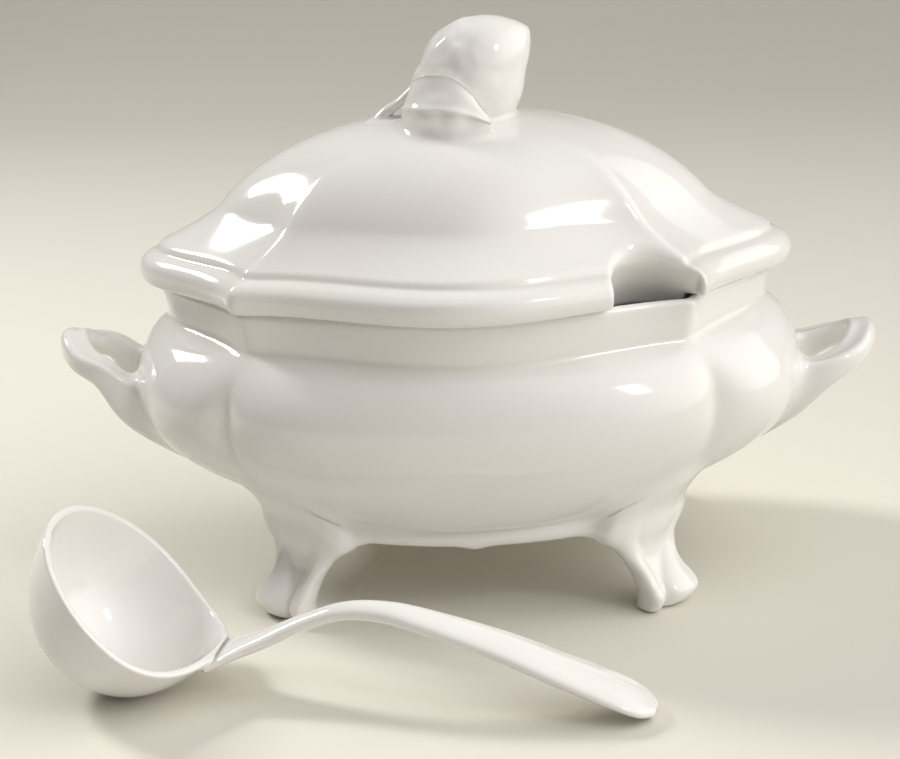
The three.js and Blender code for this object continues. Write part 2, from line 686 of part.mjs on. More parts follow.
function cupCrown(gap) {
  return cupRing(1, CUP_WALL / 2, CUP_CROWN + gap, CUP_DEPTH);
}

// The cup leans towards the handle and rests on the lowest point of its side
const leaning = cupOutside(0).flat().map((point) => (
  point.applyAxisAngle(new THREE.Vector3(0, 1, 0), cupTilt)
));
const cupLow = leaning.reduce((lowest, point) => (point.z < lowest.z ? point : lowest));
const cupLip = leaning.at(-CUP_STEPS).clone().sub(cupLow);

function layLadle(geometry) {
  geometry.rotateZ(THREE.MathUtils.degToRad(LADLE_TURN));
  geometry.translate(LADLE_X, -BELLY_HALF[1] - LADLE_FORWARD, 0);
  return geometry;
}

function placeCup(geometry) {
  geometry.rotateY(cupTilt);
  geometry.translate(-cupLow.x, 0, -cupLow.z);
  return layLadle(geometry);
}

function cupGeometry() {
  const depth = CUP_DEPTH - CUP_WALL;
  const inner = CUP_PARTS.map((part) => cupRing(part, CUP_WALL, CUP_WALL, depth)).reverse();
  const rings = [...cupOutside(0), cupCrown(0), ...inner];
  return placeCup(loft(rings, new THREE.Vector3(0, 0, 0), new THREE.Vector3(0, 0, CUP_WALL)));
}

// The handle's run in the ladle's own plane, from the cup's lip to its end on the table:
// distance from the cup's lowest point, height, width and thickness
const lipX = cupLip.x;
const ladleRows = [
  [lipX - 5, cupLip.z - 4, LADLE_NECK + 18, LADLE_THICK - 2.5],
  [lipX + 6, cupLip.z + 1.3, LADLE_NECK + 11, LADLE_THICK - 2],
  [lipX + 19, cupLip.z + 6.2, LADLE_NECK + 4, LADLE_THICK - 2],
  [lipX + 36, LADLE_ARCH - 6, LADLE_NECK, LADLE_THICK - 2.5],
  [lipX + 52, LADLE_ARCH - 0.5, LADLE_NECK, LADLE_THICK - 2],
  [lipX + 68, LADLE_ARCH, LADLE_NECK + 2, LADLE_THICK - 1],
  [LADLE_LENGTH - 96, LADLE_ARCH - 3, LADLE_WIDTH - 12, LADLE_THICK - 0.5],
  [LADLE_LENGTH - 64, LADLE_ARCH - 12.2, LADLE_WIDTH - 6, LADLE_THICK],
  [LADLE_LENGTH - 35, LADLE_ARCH - 22.9, LADLE_WIDTH - 1, LADLE_THICK],
  [LADLE_LENGTH - 16, LADLE_ARCH - 30, LADLE_WIDTH, LADLE_THICK - 0.5],
  [LADLE_LENGTH - 6, 5.5, LADLE_WIDTH - 5, LADLE_THICK - 1.5],
  [LADLE_LENGTH, 2.6, LADLE_WIDTH - 19, LADLE_THICK - 4],
];
const LADLE_RINGS = 25;
const LADLE_SIDES = 12;

function ladleHandleGeometry() {
  const rows = smooth(ladleRows, LADLE_RINGS);
  const rings = rows.map(([along, z, width, thick], i) => {
    const before = rows[Math.max(0, i - 1)];
    const after = rows[Math.min(rows.length - 1, i + 1)];
    const run = new THREE.Vector3(after[0] - before[0], 0, after[1] - before[1]).normalize();
    const up = new THREE.Vector3(-run.z, 0, run.x);
    return Array.from({ length: LADLE_SIDES }, (unused, j) => {
      const angle = (2 * Math.PI * j) / LADLE_SIDES;
      return new THREE.Vector3(along, (Math.cos(angle) * width) / 2, z)
        .addScaledVector(up, (Math.sin(angle) * thick) / 2);
    });
  });
  const strap = toSolid(layLadle(loft(rings)));
  const filledCup = loft([...cupOutside(GAP), cupCrown(GAP)], new THREE.Vector3(0, 0, -GAP));
  return toGeometry(strap.subtract(toSolid(placeCup(filledCup))));
}

// Assembly, centred on the table

const set = new THREE.Group();

function add(name, geometry) {
  const mesh = new THREE.Mesh(geometry, glaze);
  mesh.name = name;
  set.add(mesh);
}

add('bowl', bowlGeometry());
add('foot_front_right', footGeometry(1, 1));
add('foot_front_left', footGeometry(-1, 1));
add('foot_back_right', footGeometry(1, -1));
add('foot_back_left', footGeometry(-1, -1));
add('handle_right', handleGeometry(TIP_RISE_RIGHT, 1));
add('handle_left', handleGeometry(TIP_RISE_LEFT, -1));
add('lid', lidGeometry());
add('finial_fruit', fruitGeometry());
add('finial_leaf', leafGeometry());
add('finial_stem', stemGeometry());
add('ladle_cup', cupGeometry());
add('ladle_handle', ladleHandleGeometry());

const box = new THREE.Box3().setFromObject(set);
const centre = box.getCenter(new THREE.Vector3());
set.position.set(-centre.x, -centre.y, 0);

export default set;
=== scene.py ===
"""A soup tureen with its lid and ladle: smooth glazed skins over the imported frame, front towards -Y."""
import math

import bmesh
import bpy
import numpy as np
from mathutils import Matrix, Vector, noise
from mathutils.bvhtree import BVHTree
from mathutils.interpolate import poly_3d_calc


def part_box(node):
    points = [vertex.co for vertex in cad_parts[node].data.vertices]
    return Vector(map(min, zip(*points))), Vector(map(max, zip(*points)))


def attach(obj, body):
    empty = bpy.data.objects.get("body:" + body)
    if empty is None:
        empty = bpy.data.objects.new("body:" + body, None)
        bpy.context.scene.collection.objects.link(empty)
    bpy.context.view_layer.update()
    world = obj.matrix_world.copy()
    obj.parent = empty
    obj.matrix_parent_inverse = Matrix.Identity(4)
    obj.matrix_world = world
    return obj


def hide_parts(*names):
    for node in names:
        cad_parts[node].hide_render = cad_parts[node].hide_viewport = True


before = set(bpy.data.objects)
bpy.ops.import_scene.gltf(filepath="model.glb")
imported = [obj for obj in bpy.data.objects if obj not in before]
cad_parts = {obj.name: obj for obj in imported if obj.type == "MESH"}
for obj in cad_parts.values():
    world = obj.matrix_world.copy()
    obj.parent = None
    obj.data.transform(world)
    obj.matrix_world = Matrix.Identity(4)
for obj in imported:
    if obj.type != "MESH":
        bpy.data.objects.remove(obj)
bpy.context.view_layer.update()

# Sizes in millimetres, with the tureen's middle at x = y = 0. The frame gives the overall ones.
MM = 0.001


def span(node):
    low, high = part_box(node)
    return np.array(low) / MM, np.array(high) / MM


bowl_low, bowl_high = span("bowl")
lid_high = span("lid")[1]
TUREEN_Y = (bowl_low[1] + bowl_high[1]) / 2
BELLY_HALF = (bowl_high - bowl_low)[:2] / 2
RIM_Z = bowl_high[2]
LID_TOP_Z = lid_high[2]
HANDLE_REACH = span("handle_right")[1][0]

# Bowl: heights, half sizes and corners between the lobes, from the apron's lip to the rim
LIP_CUSP = 1.6
LIP_Z = bowl_low[2] + LIP_CUSP
FLOOR_Z = LIP_Z + 15.5
BELLY_Z = LIP_Z + 55.5
CREASE_Z = BELLY_Z + 32.8
CREASE_DIP = 5.2
CREASE_CORNER_DIP = 2.8
BELLY_DIP = 3
SEAM_RISE = 1.5
SEAM_CLIMB = 14
LIP_HALF = (103, 88)
LIP_CORNER = (79, 66)
SEAM_CORNER = (90.5, 65.5)
BELLY_CORNER = (106, 72.5)
RIM_HALF = (141.5, 93)
RIM_CORNER = (99.5, 66)
FLOOR_HALF = (92, 72)
FLOOR_CORNER = (66, 51)
NECK_FLARE = 3.2
WALL = 6
LIP_HEIGHT = 7
LIP_THICK = 5
LIP_ROUND = 2
LIP_GROOVE = 1.6
RIM_ROUND = 1.2
RIM_ROUND_STRETCH = 1.5
CEILING_INSET = 4
UNDER_BEND = ((0.35, 0.12), (1, 0.5))
SHOULDER_BEND = ((0.5, 0.1), (1, 0.5))
FLARE_BEND = ((0, 1 / 3), (1 / 3, 2 / 3))
STRAIGHT = ((1 / 3, 1 / 3), (2 / 3, 2 / 3))

# Lid: overhang past the rim, heights above its seat, flange and notch
SEAT_GAP = 0.3
LID_BASE_Z = RIM_Z + SEAT_GAP
LID_OVERHANG = 9
LID_CORNER_OVERHANG = 4.3
LID_EDGE_RISE = 6.2
LID_STEP_RISE = 16.2
LID_STEP_INSET = 9.4
LID_BEAD = 2
LID_GROOVE = ((-0.9, -1.5), (-0.3, -1.8), (0.9, 1.2))
LID_WAIST_RISE = 34
LID_WAIST_HALF = (111.5, 72)
LID_WAIST_CORNER = (77, 51.3)
LID_WALL = 5.5
FLANGE_DEPTH = 8
FLANGE_PLAY = 1.6
FLANGE_THICK = 5
FLANGE_TAPER = 1
HOLLOW_BEND = ((0.35, 0.26), (0.825, 0.69))
DOME_BEND = ((0.125, 0.41), (0.375, 1))
SEAT_EDGE = ((0.23, 1), (0.06, 0.5))
BAND_EDGE = ((0, 0), (0.13, 0.4), (0.43, 0.66))
NOTCH_SHIFT = (-19.8, -6.2)
NOTCH_HALF_WIDTH = 21
NOTCH_DEPTH = 17
NOTCH_TURN = 15.4
NOTCH_LEAN = 6
NOTCH_REACH = 28
NOTCH_UNDERCUT = 15
NOTCH_WALL = 5

FULLNESS = {
    "lip": 0.9, "seam": 1.15, "belly": 1.65, "crease": 0.45, "rim": 0.15, "floor": 1,
    "lid_rim": 0.1, "lid_waist": 0.25, "lid_pole": 1.6,
}
END_SWELL = 0.35

# Feet, in the right front one's own plan: out along the corner's bisector, across towards the end lobe
TOE_Z = 7.5
TOE_OUT = 14.5
TOE_WIDTH = 32
ANKLE_Z = 23
ANKLE_OUT = 1.8
ANKLE_WIDTH = 32
KNEE_WIDTH = 55
FOOT_DEPTH = 15
FOOT_TURN = -42

# Handles
LOOP_HALF_WIDTH = 22
LOOP_HEIGHT = 13
LOOP_WIDTH = 14
TIP_RISE_LEFT = 20
TIP_RISE_RIGHT = 12

# Finial
FRUIT_X = 6
FRUIT_RISE = 20
FRUIT_HALF_LENGTH = 31
FRUIT_RADIUS = 21.6
FRUIT_TILT = 32
FRUIT_POINT = 1.6
COLLAR_X = 5
COLLAR_RADII = (22, 18)
LEAF_HEIGHT = 22

# Ladle
CUP_RADIUS = 42.4
CUP_FLARE = 4
CUP_DEPTH = 42
CUP_WALL = 3.4
CUP_TILT = 48
CUP_LIP_DRAW = -3.8
CUP_LIP_RISE = 14
CUP_LIP_POINT = 3.5
CUP_ROUNDNESS = 2.1
LADLE_X = -145
LADLE_FORWARD = 33.4
LADLE_TURN = -11.5
LADLE_LENGTH = 220
LADLE_ARCH = 40.4
LADLE_THICK = 9
LADLE_WIDTH = 29
LADLE_NECK = 11


# Skins

def unit(vectors):
    """The same directions with length 1."""
    return vectors / np.maximum(np.linalg.norm(vectors, axis=1), 1e-9)[:, None]


def smooth_normals(points, faces):
    normals = np.zeros_like(points)
    for size in (3, 4):
        chosen = np.array([face for face in faces if len(face) == size], int).reshape(-1, size)
        corners = points[chosen]
        across = np.cross(corners[:, 2] - corners[:, 0], corners[:, -1] - corners[:, 1])
        for k in range(size):
            np.add.at(normals, chosen[:, k], across)
    return unit(normals)


class Skin:
    """A closed surface in millimetres. Distances are measured from its first shape; seams move its points
    and set the normals there."""

    def __init__(self, name, points, faces):
        self.name = name
        self.points = np.asarray(points, float)
        self.faces = faces
        self.tree = BVHTree.FromPolygons(self.points.tolist(), faces)
        self.normals = smooth_normals(self.points, faces)
        self.moved = self.points.copy()
        self.set_normals = np.full_like(self.points, np.nan)

    def normals_at(self, points):
        """Normals of the smoothed surface nearest to each point."""
        found = np.empty((len(points), 3))
        for i, point in enumerate(points.tolist()):
            spot, _, index, _ = self.tree.find_nearest(point)
            corners = self.faces[index]
            shares = poly_3d_calc([Vector(self.points[corner]) for corner in corners], spot)
            found[i] = np.dot(shares, self.normals[corners])
        return unit(found)


def loft(name, rings, start=None, end=None):
    """A closed skin through rings of equal count, with a fan over the first and the last."""
    rings = np.asarray(rings, float)
    rows, count = rings.shape[:2]
    start = rings[0].mean(0) if start is None else start
    end = rings[-1].mean(0) if end is None else end
    points = np.concatenate([rings.reshape(-1, 3), [start, end]])
    here = np.arange(count)
    following = (here + 1) % count
    low = (np.arange(rows - 1) * count)[:, None]
    quads = np.stack([low + here, low + following, low + count + following, low + count + here], -1)
    last = (rows - 1) * count
    faces = quads.reshape(-1, 4).tolist()
    faces += np.stack([np.full(count, rows * count), following, here], -1).tolist()
    faces += np.stack([last + here, last + following, np.full(count, rows * count + 1)], -1).tolist()
    return Skin(name, points, faces)


OVERSAMPLING = 4


def spread(rows, count):
    """A smooth run through rows of numbers, sampled evenly."""
    rows = np.asarray(rows, float)
    slopes = np.gradient(rows, axis=0)
    at = np.linspace(0, len(rows) - 1, count)
    i = np.minimum(at.astype(int), len(rows) - 2)
    t = (at - i)[:, None]
    return (
        rows[i] * (2 * t**3 - 3 * t**2 + 1)
        + slopes[i] * (t**3 - 2 * t**2 + t)
        + rows[i + 1] * (3 * t**2 - 2 * t**3)
        + slopes[i + 1] * (t**3 - t**2)
    )


def even(points, count, closed=False):
    """The same line with points at even distances along it."""
    if closed:
        points = np.concatenate([points, points[:1]])
    length = np.concatenate([[0], np.cumsum(np.linalg.norm(np.diff(points, axis=0), axis=1))])
    at = np.linspace(0, length[-1], count, endpoint=not closed)
    return np.stack([np.interp(at, length, points[:, k]) for k in range(points.shape[1])], -1)


def evenly(rows, count):
    """A smooth run through rows of numbers, at even distances."""
    return even(spread(rows, OVERSAMPLING * count), count)


def softened(grid, across, along):
    """Rings smoothed along themselves and from ring to ring by so many passes. The end rings stay."""
    grid = grid.copy()
    for _ in range(across):
        grid = (np.roll(grid, 1, 1) + 2 * grid + np.roll(grid, -1, 1)) / 4
    for _ in range(along):
        grid[1:-1] = (grid[:-2] + 2 * grid[1:-1] + grid[2:]) / 4
    return grid


def distances(tree, points):
    """Signed distances to a skin and their directions, inside negative."""
    gaps = np.empty(len(points))
    ways = np.empty((len(points), 3))
    for i, point in enumerate(points.tolist()):
        spot, normal, _, gap = tree.find_nearest(point)
        away = Vector(point) - spot
        side = 1 if away.dot(normal) >= 0 else -1
        gaps[i] = side * gap
        ways[i] = away * (side / gap) if gap > 1e-5 else normal
    return gaps, ways


NEWTON_STEPS = 5
LEAST_SLOPE = 0.05


def onto_blend(points, own, other, radius, own_sign, dive):
    """Points moved to the rounded joint of two skins, and the normals there: a fillet with own_sign 1,
    a shaved edge with -1. Past the joint's middle the points dive under the other skin, slowly at first."""
    points = points.copy()
    for _ in range(NEWTON_STEPS):
        a, to_a = distances(own.tree, points)
        b, to_b = distances(other.tree, points)
        a, to_a = own_sign * a, own_sign * to_a
        reach = np.maximum(radius - np.abs(a - b), 0)
        past = np.maximum(a - b, 0)
        value = np.minimum(a, b) - reach**2 / (4 * radius) + dive * past**2 / radius
        share_a = np.where(a < b, 1 - reach / (2 * radius), reach / (2 * radius))
        sink = 2 * dive * past / radius
        slope = (share_a + sink)[:, None] * to_a + (1 - share_a - sink)[:, None] * to_b
        steep = np.maximum((slope**2).sum(1), LEAST_SLOPE)
        points -= (value / steep)[:, None] * slope
    share_a = share_a[:, None]
    normals = share_a * own.normals_at(points) + own_sign * (1 - share_a) * other.normals_at(points)
    return points, unit(normals)


SEAM_DIVE = 0.8
OWN_SURFACE = 0.2


def joined(skins):
    """One skin of several that don't meet."""
    points = np.concatenate([skin.points for skin in skins])
    faces = []
    count = 0
    for skin in skins:
        faces += [[corner + count for corner in face] for face in skin.faces]
        count += len(skin.points)
    return Skin("joined", points, faces)


BURIED_FACING = -0.2


def showing(skin, solid):
    """The faces of a skin outside a solid, and those inside that face out: seams are measured from them."""
    middles = np.array([skin.points[face].mean(0) for face in skin.faces])
    facing = np.array([skin.normals[face].mean(0) for face in skin.faces])
    gaps, _ = distances(solid.tree, middles)
    kept = (gaps > 0) | ((facing * solid.normals_at(middles)).sum(1) > BURIED_FACING)
    return Skin(skin.name, skin.points, [face for face, keep in zip(skin.faces, kept) if keep])


def glaze_seam(skin, own, others, radius):
    """Fills the seam of a skin with its neighbours by a fillet, as glaze and slip do. Only points on own,
    the part of its surface that counts for the seam, move. Points deep inside a neighbour stay."""
    other = joined(others)
    chosen = np.array([
        i for i, point in enumerate(skin.points.tolist())
        if other.tree.find_nearest(point, radius)[0] is not None
        and own.tree.find_nearest(point, OWN_SURFACE)[0] is not None
    ])
    gaps, _ = distances(other.tree, skin.points[chosen])
    moved, normals = onto_blend(skin.points[chosen], own, other, radius, 1, SEAM_DIVE)
    weight = np.clip(2 + 2 * gaps / radius, 0, 1)[:, None]
    skin.moved[chosen] += (moved - skin.points[chosen]) * weight
    skin.set_normals[chosen] = normals


def lute(vessel, filled, pieces, radius):
    """Joins pieces to a vessel's filled form."""
    faces = [showing(piece, filled) for piece in pieces]
    for piece, face in zip(pieces, faces):
        glaze_seam(piece, face, [filled], radius)
    glaze_seam(vessel, filled, faces, radius)


UNFOLD_PASSES = 30


def settle(*skins):
    """Takes over the moved points, and draws faces that a seam has folded back to the middle of their
    neighbours."""
    for skin in skins:
        corners = np.array([[*face, face[-1]][:4] for face in skin.faces])
        pairs = np.concatenate([corners[:, [k, (k + 1) % 4]] for k in range(4)])
        pairs = np.concatenate([pairs, pairs[:, ::-1]])
        pairs = np.unique(pairs[pairs[:, 0] != pairs[:, 1]], axis=0)
        wanted = np.where(np.isnan(skin.set_normals), skin.normals, skin.set_normals)[corners].mean(1)
        points = skin.moved
        for _ in range(UNFOLD_PASSES):
            a, b, c, d = (points[corners[:, k]] for k in range(4))
            folded = (np.cross(c - a, d - b) * wanted).sum(1) < 0
            chosen = np.unique(corners[folded])
            if not len(chosen):
                break
            sums = np.zeros_like(points)
            np.add.at(sums, pairs[:, 0], points[pairs[:, 1]])
            points[chosen] = sums[chosen] / np.bincount(pairs[:, 0], minlength=len(points))[chosen, None]
        skin.points = points


# The four-lobed plan

FRONT_COLUMNS = 120
END_COLUMNS = 84
PLAN_SAMPLES = 241
DIAGONAL = 0.75

# A level's numbers: heights of the front lobe, the end lobe and the corner, then sizes, which are four in plan
# and two fullnesses
HEIGHTS = 3
PLAN_SIZES = 4
SIZES = 6


def lobe(u, fullness):
    """How far a lobe stands out, from 0 at its corner to 1 in its middle."""
    bracket = np.cos(np.pi / 2 * u) ** 2
    ellipse = (np.sqrt(1 - u * u / 2) - math.sqrt(0.5)) / (1 - math.sqrt(0.5))
    swell = np.sqrt(np.maximum(0, 1 - u * u))
    if fullness < 1:
        return bracket + (ellipse - bracket) * fullness
    return ellipse + (swell - ellipse) * (fullness - 1)


def level(z, half, corner, fullness, front=0, corner_rise=0, ends=0):
    return np.array([z + front, z, z + corner_rise, *half, *corner, fullness, fullness + ends], float)


def ring(row):
    z_front, z_end, z_corner, long, wide, corner_x, corner_y, full_front, full_end = row
    u = np.sin(np.pi / 2 * np.linspace(-1, 1, PLAN_SAMPLES))
    dip = 1 - u * u
    sides = []
    for side in range(4):
        sign = 1 if side < 2 else -1
        if side % 2:
            away = corner_x + (long - corner_x) * lobe(u, full_end)
            line = np.stack([away * sign, corner_y * u * sign, z_corner + (z_end - z_corner) * dip], -1)
            sides.append(even(line, END_COLUMNS + 1)[:-1])
        else:
            away = corner_y + (wide - corner_y) * lobe(u, full_front)
            line = np.stack([corner_x * u * sign, -away * sign, z_corner + (z_front - z_corner) * dip], -1)
            sides.append(even(line, FRONT_COLUMNS + 1)[:-1])
    return np.concatenate(sides)


def grown(row, amount):
    share = amount * DIAGONAL
    return row + np.array([0, 0, 0, amount, amount, share, share, 0, 0])


def raised(row, amount):
    return row + np.array([amount] * HEIGHTS + [0] * SIZES)


CURVE_STEPS = 48


def curved(start, end, bend=STRAIGHT):
    """Levels from one to another along a curve, whose handles are shares of the change in size and height."""
    t = np.linspace(0, 1, CURVE_STEPS)
    size, height = (
        3 * (1 - t) ** 2 * t * bend[0][k] + 3 * (1 - t) * t**2 * bend[1][k] + t**3 for k in range(2)
    )
    share = np.concatenate([np.repeat(height[:, None], HEIGHTS, 1), np.repeat(size[:, None], SIZES, 1)], 1)
    return start + (end - start) * share


def run(rows):
    """Straight levels through several."""
    return np.concatenate([curved(a, b) for a, b in zip(rows[:-1], rows[1:])])


def spaced(levels, spacing):
    """Levels at even distances along the profile."""
    change = np.abs(np.diff(levels, axis=0))
    step = np.hypot(change[:, :HEIGHTS].mean(1), change[:, HEIGHTS:HEIGHTS + PLAN_SIZES].mean(1))
    length = np.concatenate([[0], np.cumsum(step + 1e-6)])
    at = np.linspace(0, length[-1], int(length[-1] / spacing) + 2)
    return np.stack([np.interp(at, length, levels[:, k]) for k in range(levels.shape[1])], -1)


# Bowl

lip = level(LIP_Z + LIP_HEIGHT / 2, LIP_HALF, LIP_CORNER, FULLNESS["lip"])
lip_foot = raised(grown(lip, -LIP_ROUND), -LIP_HEIGHT / 2)
lip_inner = grown(lip_foot, -LIP_THICK)
lip_top = raised(grown(lip, -LIP_ROUND / 2), LIP_HEIGHT / 2)
seam = level(LIP_Z + LIP_HEIGHT + SEAM_RISE, LIP_HALF, SEAM_CORNER, FULLNESS["seam"], corner_rise=SEAM_CLIMB)
belly = level(BELLY_Z, BELLY_HALF, BELLY_CORNER, FULLNESS["belly"], front=-BELLY_DIP, ends=END_SWELL)
rim = level(RIM_Z - RIM_ROUND, RIM_HALF, RIM_CORNER, FULLNESS["rim"])
crease = level(CREASE_Z, RIM_HALF, RIM_CORNER, FULLNESS["crease"], -CREASE_DIP, -CREASE_CORNER_DIP)
neck_foot = grown(crease, -NECK_FLARE)
mouth = raised(grown(rim, -WALL), RIM_ROUND)
OUTSIDE_SPACING = 1.2
INSIDE_SPACING = 3
BOWL_SOFTNESS = (3, 4)
CUSP_WIDTH = 5
CUSP_REACH = 15


def make_bowl():
    ceiling = raised(grown(lip_inner, -CEILING_INSET), FLOOR_Z - WALL - LIP_Z)
    groove = grown((lip_top + seam) / 2, -LIP_GROOVE)
    inner_crease = grown(neck_foot, -WALL)
    inner_belly = grown(belly, -WALL)
    floor_edge = level(FLOOR_Z, FLOOR_HALF, FLOOR_CORNER, FULLNESS["floor"])
    outside = np.concatenate([
        run([ceiling, lip_inner, lip_foot, lip, lip_top, groove, seam]),
        curved(seam, belly, UNDER_BEND),
        curved(neck_foot, belly, SHOULDER_BEND)[::-1],
        curved(neck_foot, rim, FLARE_BEND),
        run([rim, raised(grown(rim, -RIM_ROUND_STRETCH * RIM_ROUND), RIM_ROUND), mouth]),
    ])
    inside = np.concatenate([
        curved(mouth, inner_crease, FLARE_BEND),
        curved(inner_crease, inner_belly, SHOULDER_BEND),
        curved(floor_edge, inner_belly, UNDER_BEND)[::-1],
    ])
    outside = spaced(outside, OUTSIDE_SPACING)
    outside_rows = len(outside)
    rings = np.stack([ring(row) for row in (*outside, *spaced(inside, INSIDE_SPACING)[1:])])
    edge = np.clip((LIP_Z + LIP_HEIGHT - rings[..., 2]) / LIP_HEIGHT, 0, 1)
    lobe_front = np.abs(rings[..., 1]) > LIP_HALF[1] - CUSP_REACH
    rings[..., 2] -= LIP_CUSP * edge * lobe_front * np.exp(-((rings[..., 0] / CUSP_WIDTH) ** 2))
    rings = softened(rings, *BOWL_SOFTNESS)
    ceiling_middle = (0, 0, FLOOR_Z - WALL)
    filled = loft("filled bowl", rings[:outside_rows], ceiling_middle, (0, 0, RIM_Z))
    return loft("bowl", rings, ceiling_middle, (0, 0, FLOOR_Z)), filled


# Feet

# Height, how far the face stands out, width, swell of the face, depth behind, height of the ridge along the
# front edge, height and share of the width of the roll along the end edge, which grows into the toe, and lean
FOOT_LEVELS = (
    (0, TOE_OUT - 8.4, TOE_WIDTH - 7.5, 0, FOOT_DEPTH - 2.4, 2.4, 3.4, 0.7, 0.4),
    (TOE_Z / 4, TOE_OUT - 5.2, TOE_WIDTH - 3, 0, FOOT_DEPTH - 0.4, 3, 5, 0.7, 0.8),
    (TOE_Z, TOE_OUT - 3, TOE_WIDTH, 0, FOOT_DEPTH + 2, 3.5, 6.4, 0.7, 1.5),
    (TOE_Z + 5, TOE_OUT - 5.5, TOE_WIDTH - 1, 0, FOOT_DEPTH + 1, 3.4, 5.4, 0.65, 1),
    (TOE_Z + 10, ANKLE_OUT + 3.5, ANKLE_WIDTH - 3, 0.5, FOOT_DEPTH, 3.2, 3.6, 0.5, 0),
    (ANKLE_Z, ANKLE_OUT, ANKLE_WIDTH, 1, FOOT_DEPTH - 1, 3, 2.4, 0.35, -0.6),
    ((ANKLE_Z + LIP_Z) / 2, ANKLE_OUT - 4.3, ANKLE_WIDTH + 9, 4.5, FOOT_DEPTH - 1, 2.8, 2, 0.3, 0),
    (LIP_Z, ANKLE_OUT - 7.1, KNEE_WIDTH, 9, FOOT_DEPTH, 2.2, 1.6, 0.25, 1),
    (LIP_Z + 9.5, ANKLE_OUT - 4.4, KNEE_WIDTH - 5, 8, FOOT_DEPTH - 1, 1.2, 1, 0.25, 2.5),
    (LIP_Z + 17.5, ANKLE_OUT + 1.1, KNEE_WIDTH - 19, 6.5, FOOT_DEPTH - 5, 0.4, 0.4, 0.25, 5),
    (LIP_Z + 23.5, ANKLE_OUT + 6.4, KNEE_WIDTH - 37, 3.5, FOOT_DEPTH - 9, 0, 0, 0.25, 8),
    (LIP_Z + 29.5, ANKLE_OUT + 7.5, KNEE_WIDTH - 46, 0, FOOT_DEPTH - 11, 0, 0, 0.25, 10),
)
FOOT_RINGS = 84
FOOT_COLUMNS = 96
FACE_SAMPLES = 161
FOOT_SOFTNESS = (5, 3)
RIDGE_SHARE = 0.25


def roll(side, share):
    """A rounded roll of a share of the width, beside one edge of a foot's face."""
    return np.sqrt(np.maximum(0, 1 - ((side - 1 + share) / share) ** 2))


def foot_ring(row):
    z, stand, width, swell, depth, ridge, toe, toe_share, lean = row
    side = np.linspace(-1, 1, FACE_SAMPLES)
    face = swell * (1 - side**2) + ridge * roll(-side, RIDGE_SHARE) + toe * roll(side, toe_share)
    back_side = side[-2:0:-1]
    back = swell / 2 * (1 - back_side**2) - depth * np.sqrt(1 - back_side**2)
    out = stand + np.concatenate([face, back])
    across = lean + np.concatenate([side, back_side]) * width / 2
    turn = math.radians(FOOT_TURN)
    x = LIP_CORNER[0] + out * math.cos(turn) - across * math.sin(turn)
    y = -LIP_CORNER[1] + out * math.sin(turn) + across * math.cos(turn)
    return even(np.stack([x, y, np.full_like(x, z)], -1), FOOT_COLUMNS, closed=True)


def make_foot(name, sign_x, sign_y):
    rings = np.stack([foot_ring(row) for row in spread(FOOT_LEVELS, FOOT_RINGS)])
    rings = softened(rings, *FOOT_SOFTNESS)
    rings[:, :, :2] *= (sign_x, sign_y)
    return loft(name, rings[:, ::-1] if sign_x * sign_y < 0 else rings)


# Handles

HANDLE_RINGS = 150
STRAP_COLUMNS = 48
STRAP_SQUARENESS = 0.75
HANDLE_SOFTNESS = (2, 3)
TROUGH_DEPTH = 1.8
TROUGH_WIDTH = 0.5


def belly_at(z):
    """Half length of the belly under its widest line, in the middle of an end lobe."""
    levels = curved(seam, belly, UNDER_BEND)
    return float(np.interp(z, levels[:, 1], levels[:, HEIGHTS]))


def handle_rows(tip_rise):
    """Half of the right handle: place, then width and height of the strap and the trough's share."""
    reach = HANDLE_REACH - LOOP_WIDTH / 2
    tip_z = BELLY_Z + tip_rise

    def out(share):
        return BELLY_HALF[0] + (reach - BELLY_HALF[0]) * share

    def tail(drop, proud, side, width, height, trough):
        place = belly_at(BELLY_Z - drop) + proud
        return (place, -LOOP_HALF_WIDTH * side, BELLY_Z - drop, width, height, trough)

    return [
        tail(40, 2, 0.2, LOOP_WIDTH - 8, 7, 0),
        tail(26, -3, 0.5, LOOP_WIDTH - 5, 12, 0),
        tail(14, -4.5, 0.82, LOOP_WIDTH - 2, 19, 0.1),
        tail(4, 1, 1, LOOP_WIDTH, 19, 0.5),
        (out(0.42), -LOOP_HALF_WIDTH, tip_z - 10, LOOP_WIDTH - 1, LOOP_HEIGHT + 0.5, 0.9),
        (out(0.8), -LOOP_HALF_WIDTH + 7, tip_z - 4.5, LOOP_WIDTH, LOOP_HEIGHT - 1, 1),
        (reach, 0, tip_z + 0.5, LOOP_WIDTH, LOOP_HEIGHT, 1),
    ]


def make_handle(name, tip_rise, sign):
    half = handle_rows(tip_rise)
    far = [(x, -y, *rest) for x, y, *rest in half[-2::-1]]
    rows = evenly(half + far, HANDLE_RINGS)
    way = unit(np.gradient(rows[:, :3], axis=0))
    side = unit(np.stack([-way[:, 1], way[:, 0], np.zeros(len(way))], -1))
    up = np.cross(way, side)
    angle = np.linspace(0, 2 * np.pi, STRAP_COLUMNS, endpoint=False)
    flat, tall = (np.sign(v) * np.abs(v) ** STRAP_SQUARENESS for v in (np.cos(angle), np.sin(angle)))
    trough = TROUGH_DEPTH * np.exp(-((flat / TROUGH_WIDTH) ** 2)) * (tall > 0)
    rings = (
        rows[:, None, :3]
        + side[:, None] * (flat * rows[:, 3:4] / 2)[..., None]
        + up[:, None] * (tall * rows[:, 4:5] / 2 - trough * rows[:, 5:6])[..., None]
    )
    rings = softened(rings, *HANDLE_SOFTNESS)
    rings[:, :, 0] *= sign
    return loft(name, rings[:, ::-1] if sign < 0 else rings)


# Lid

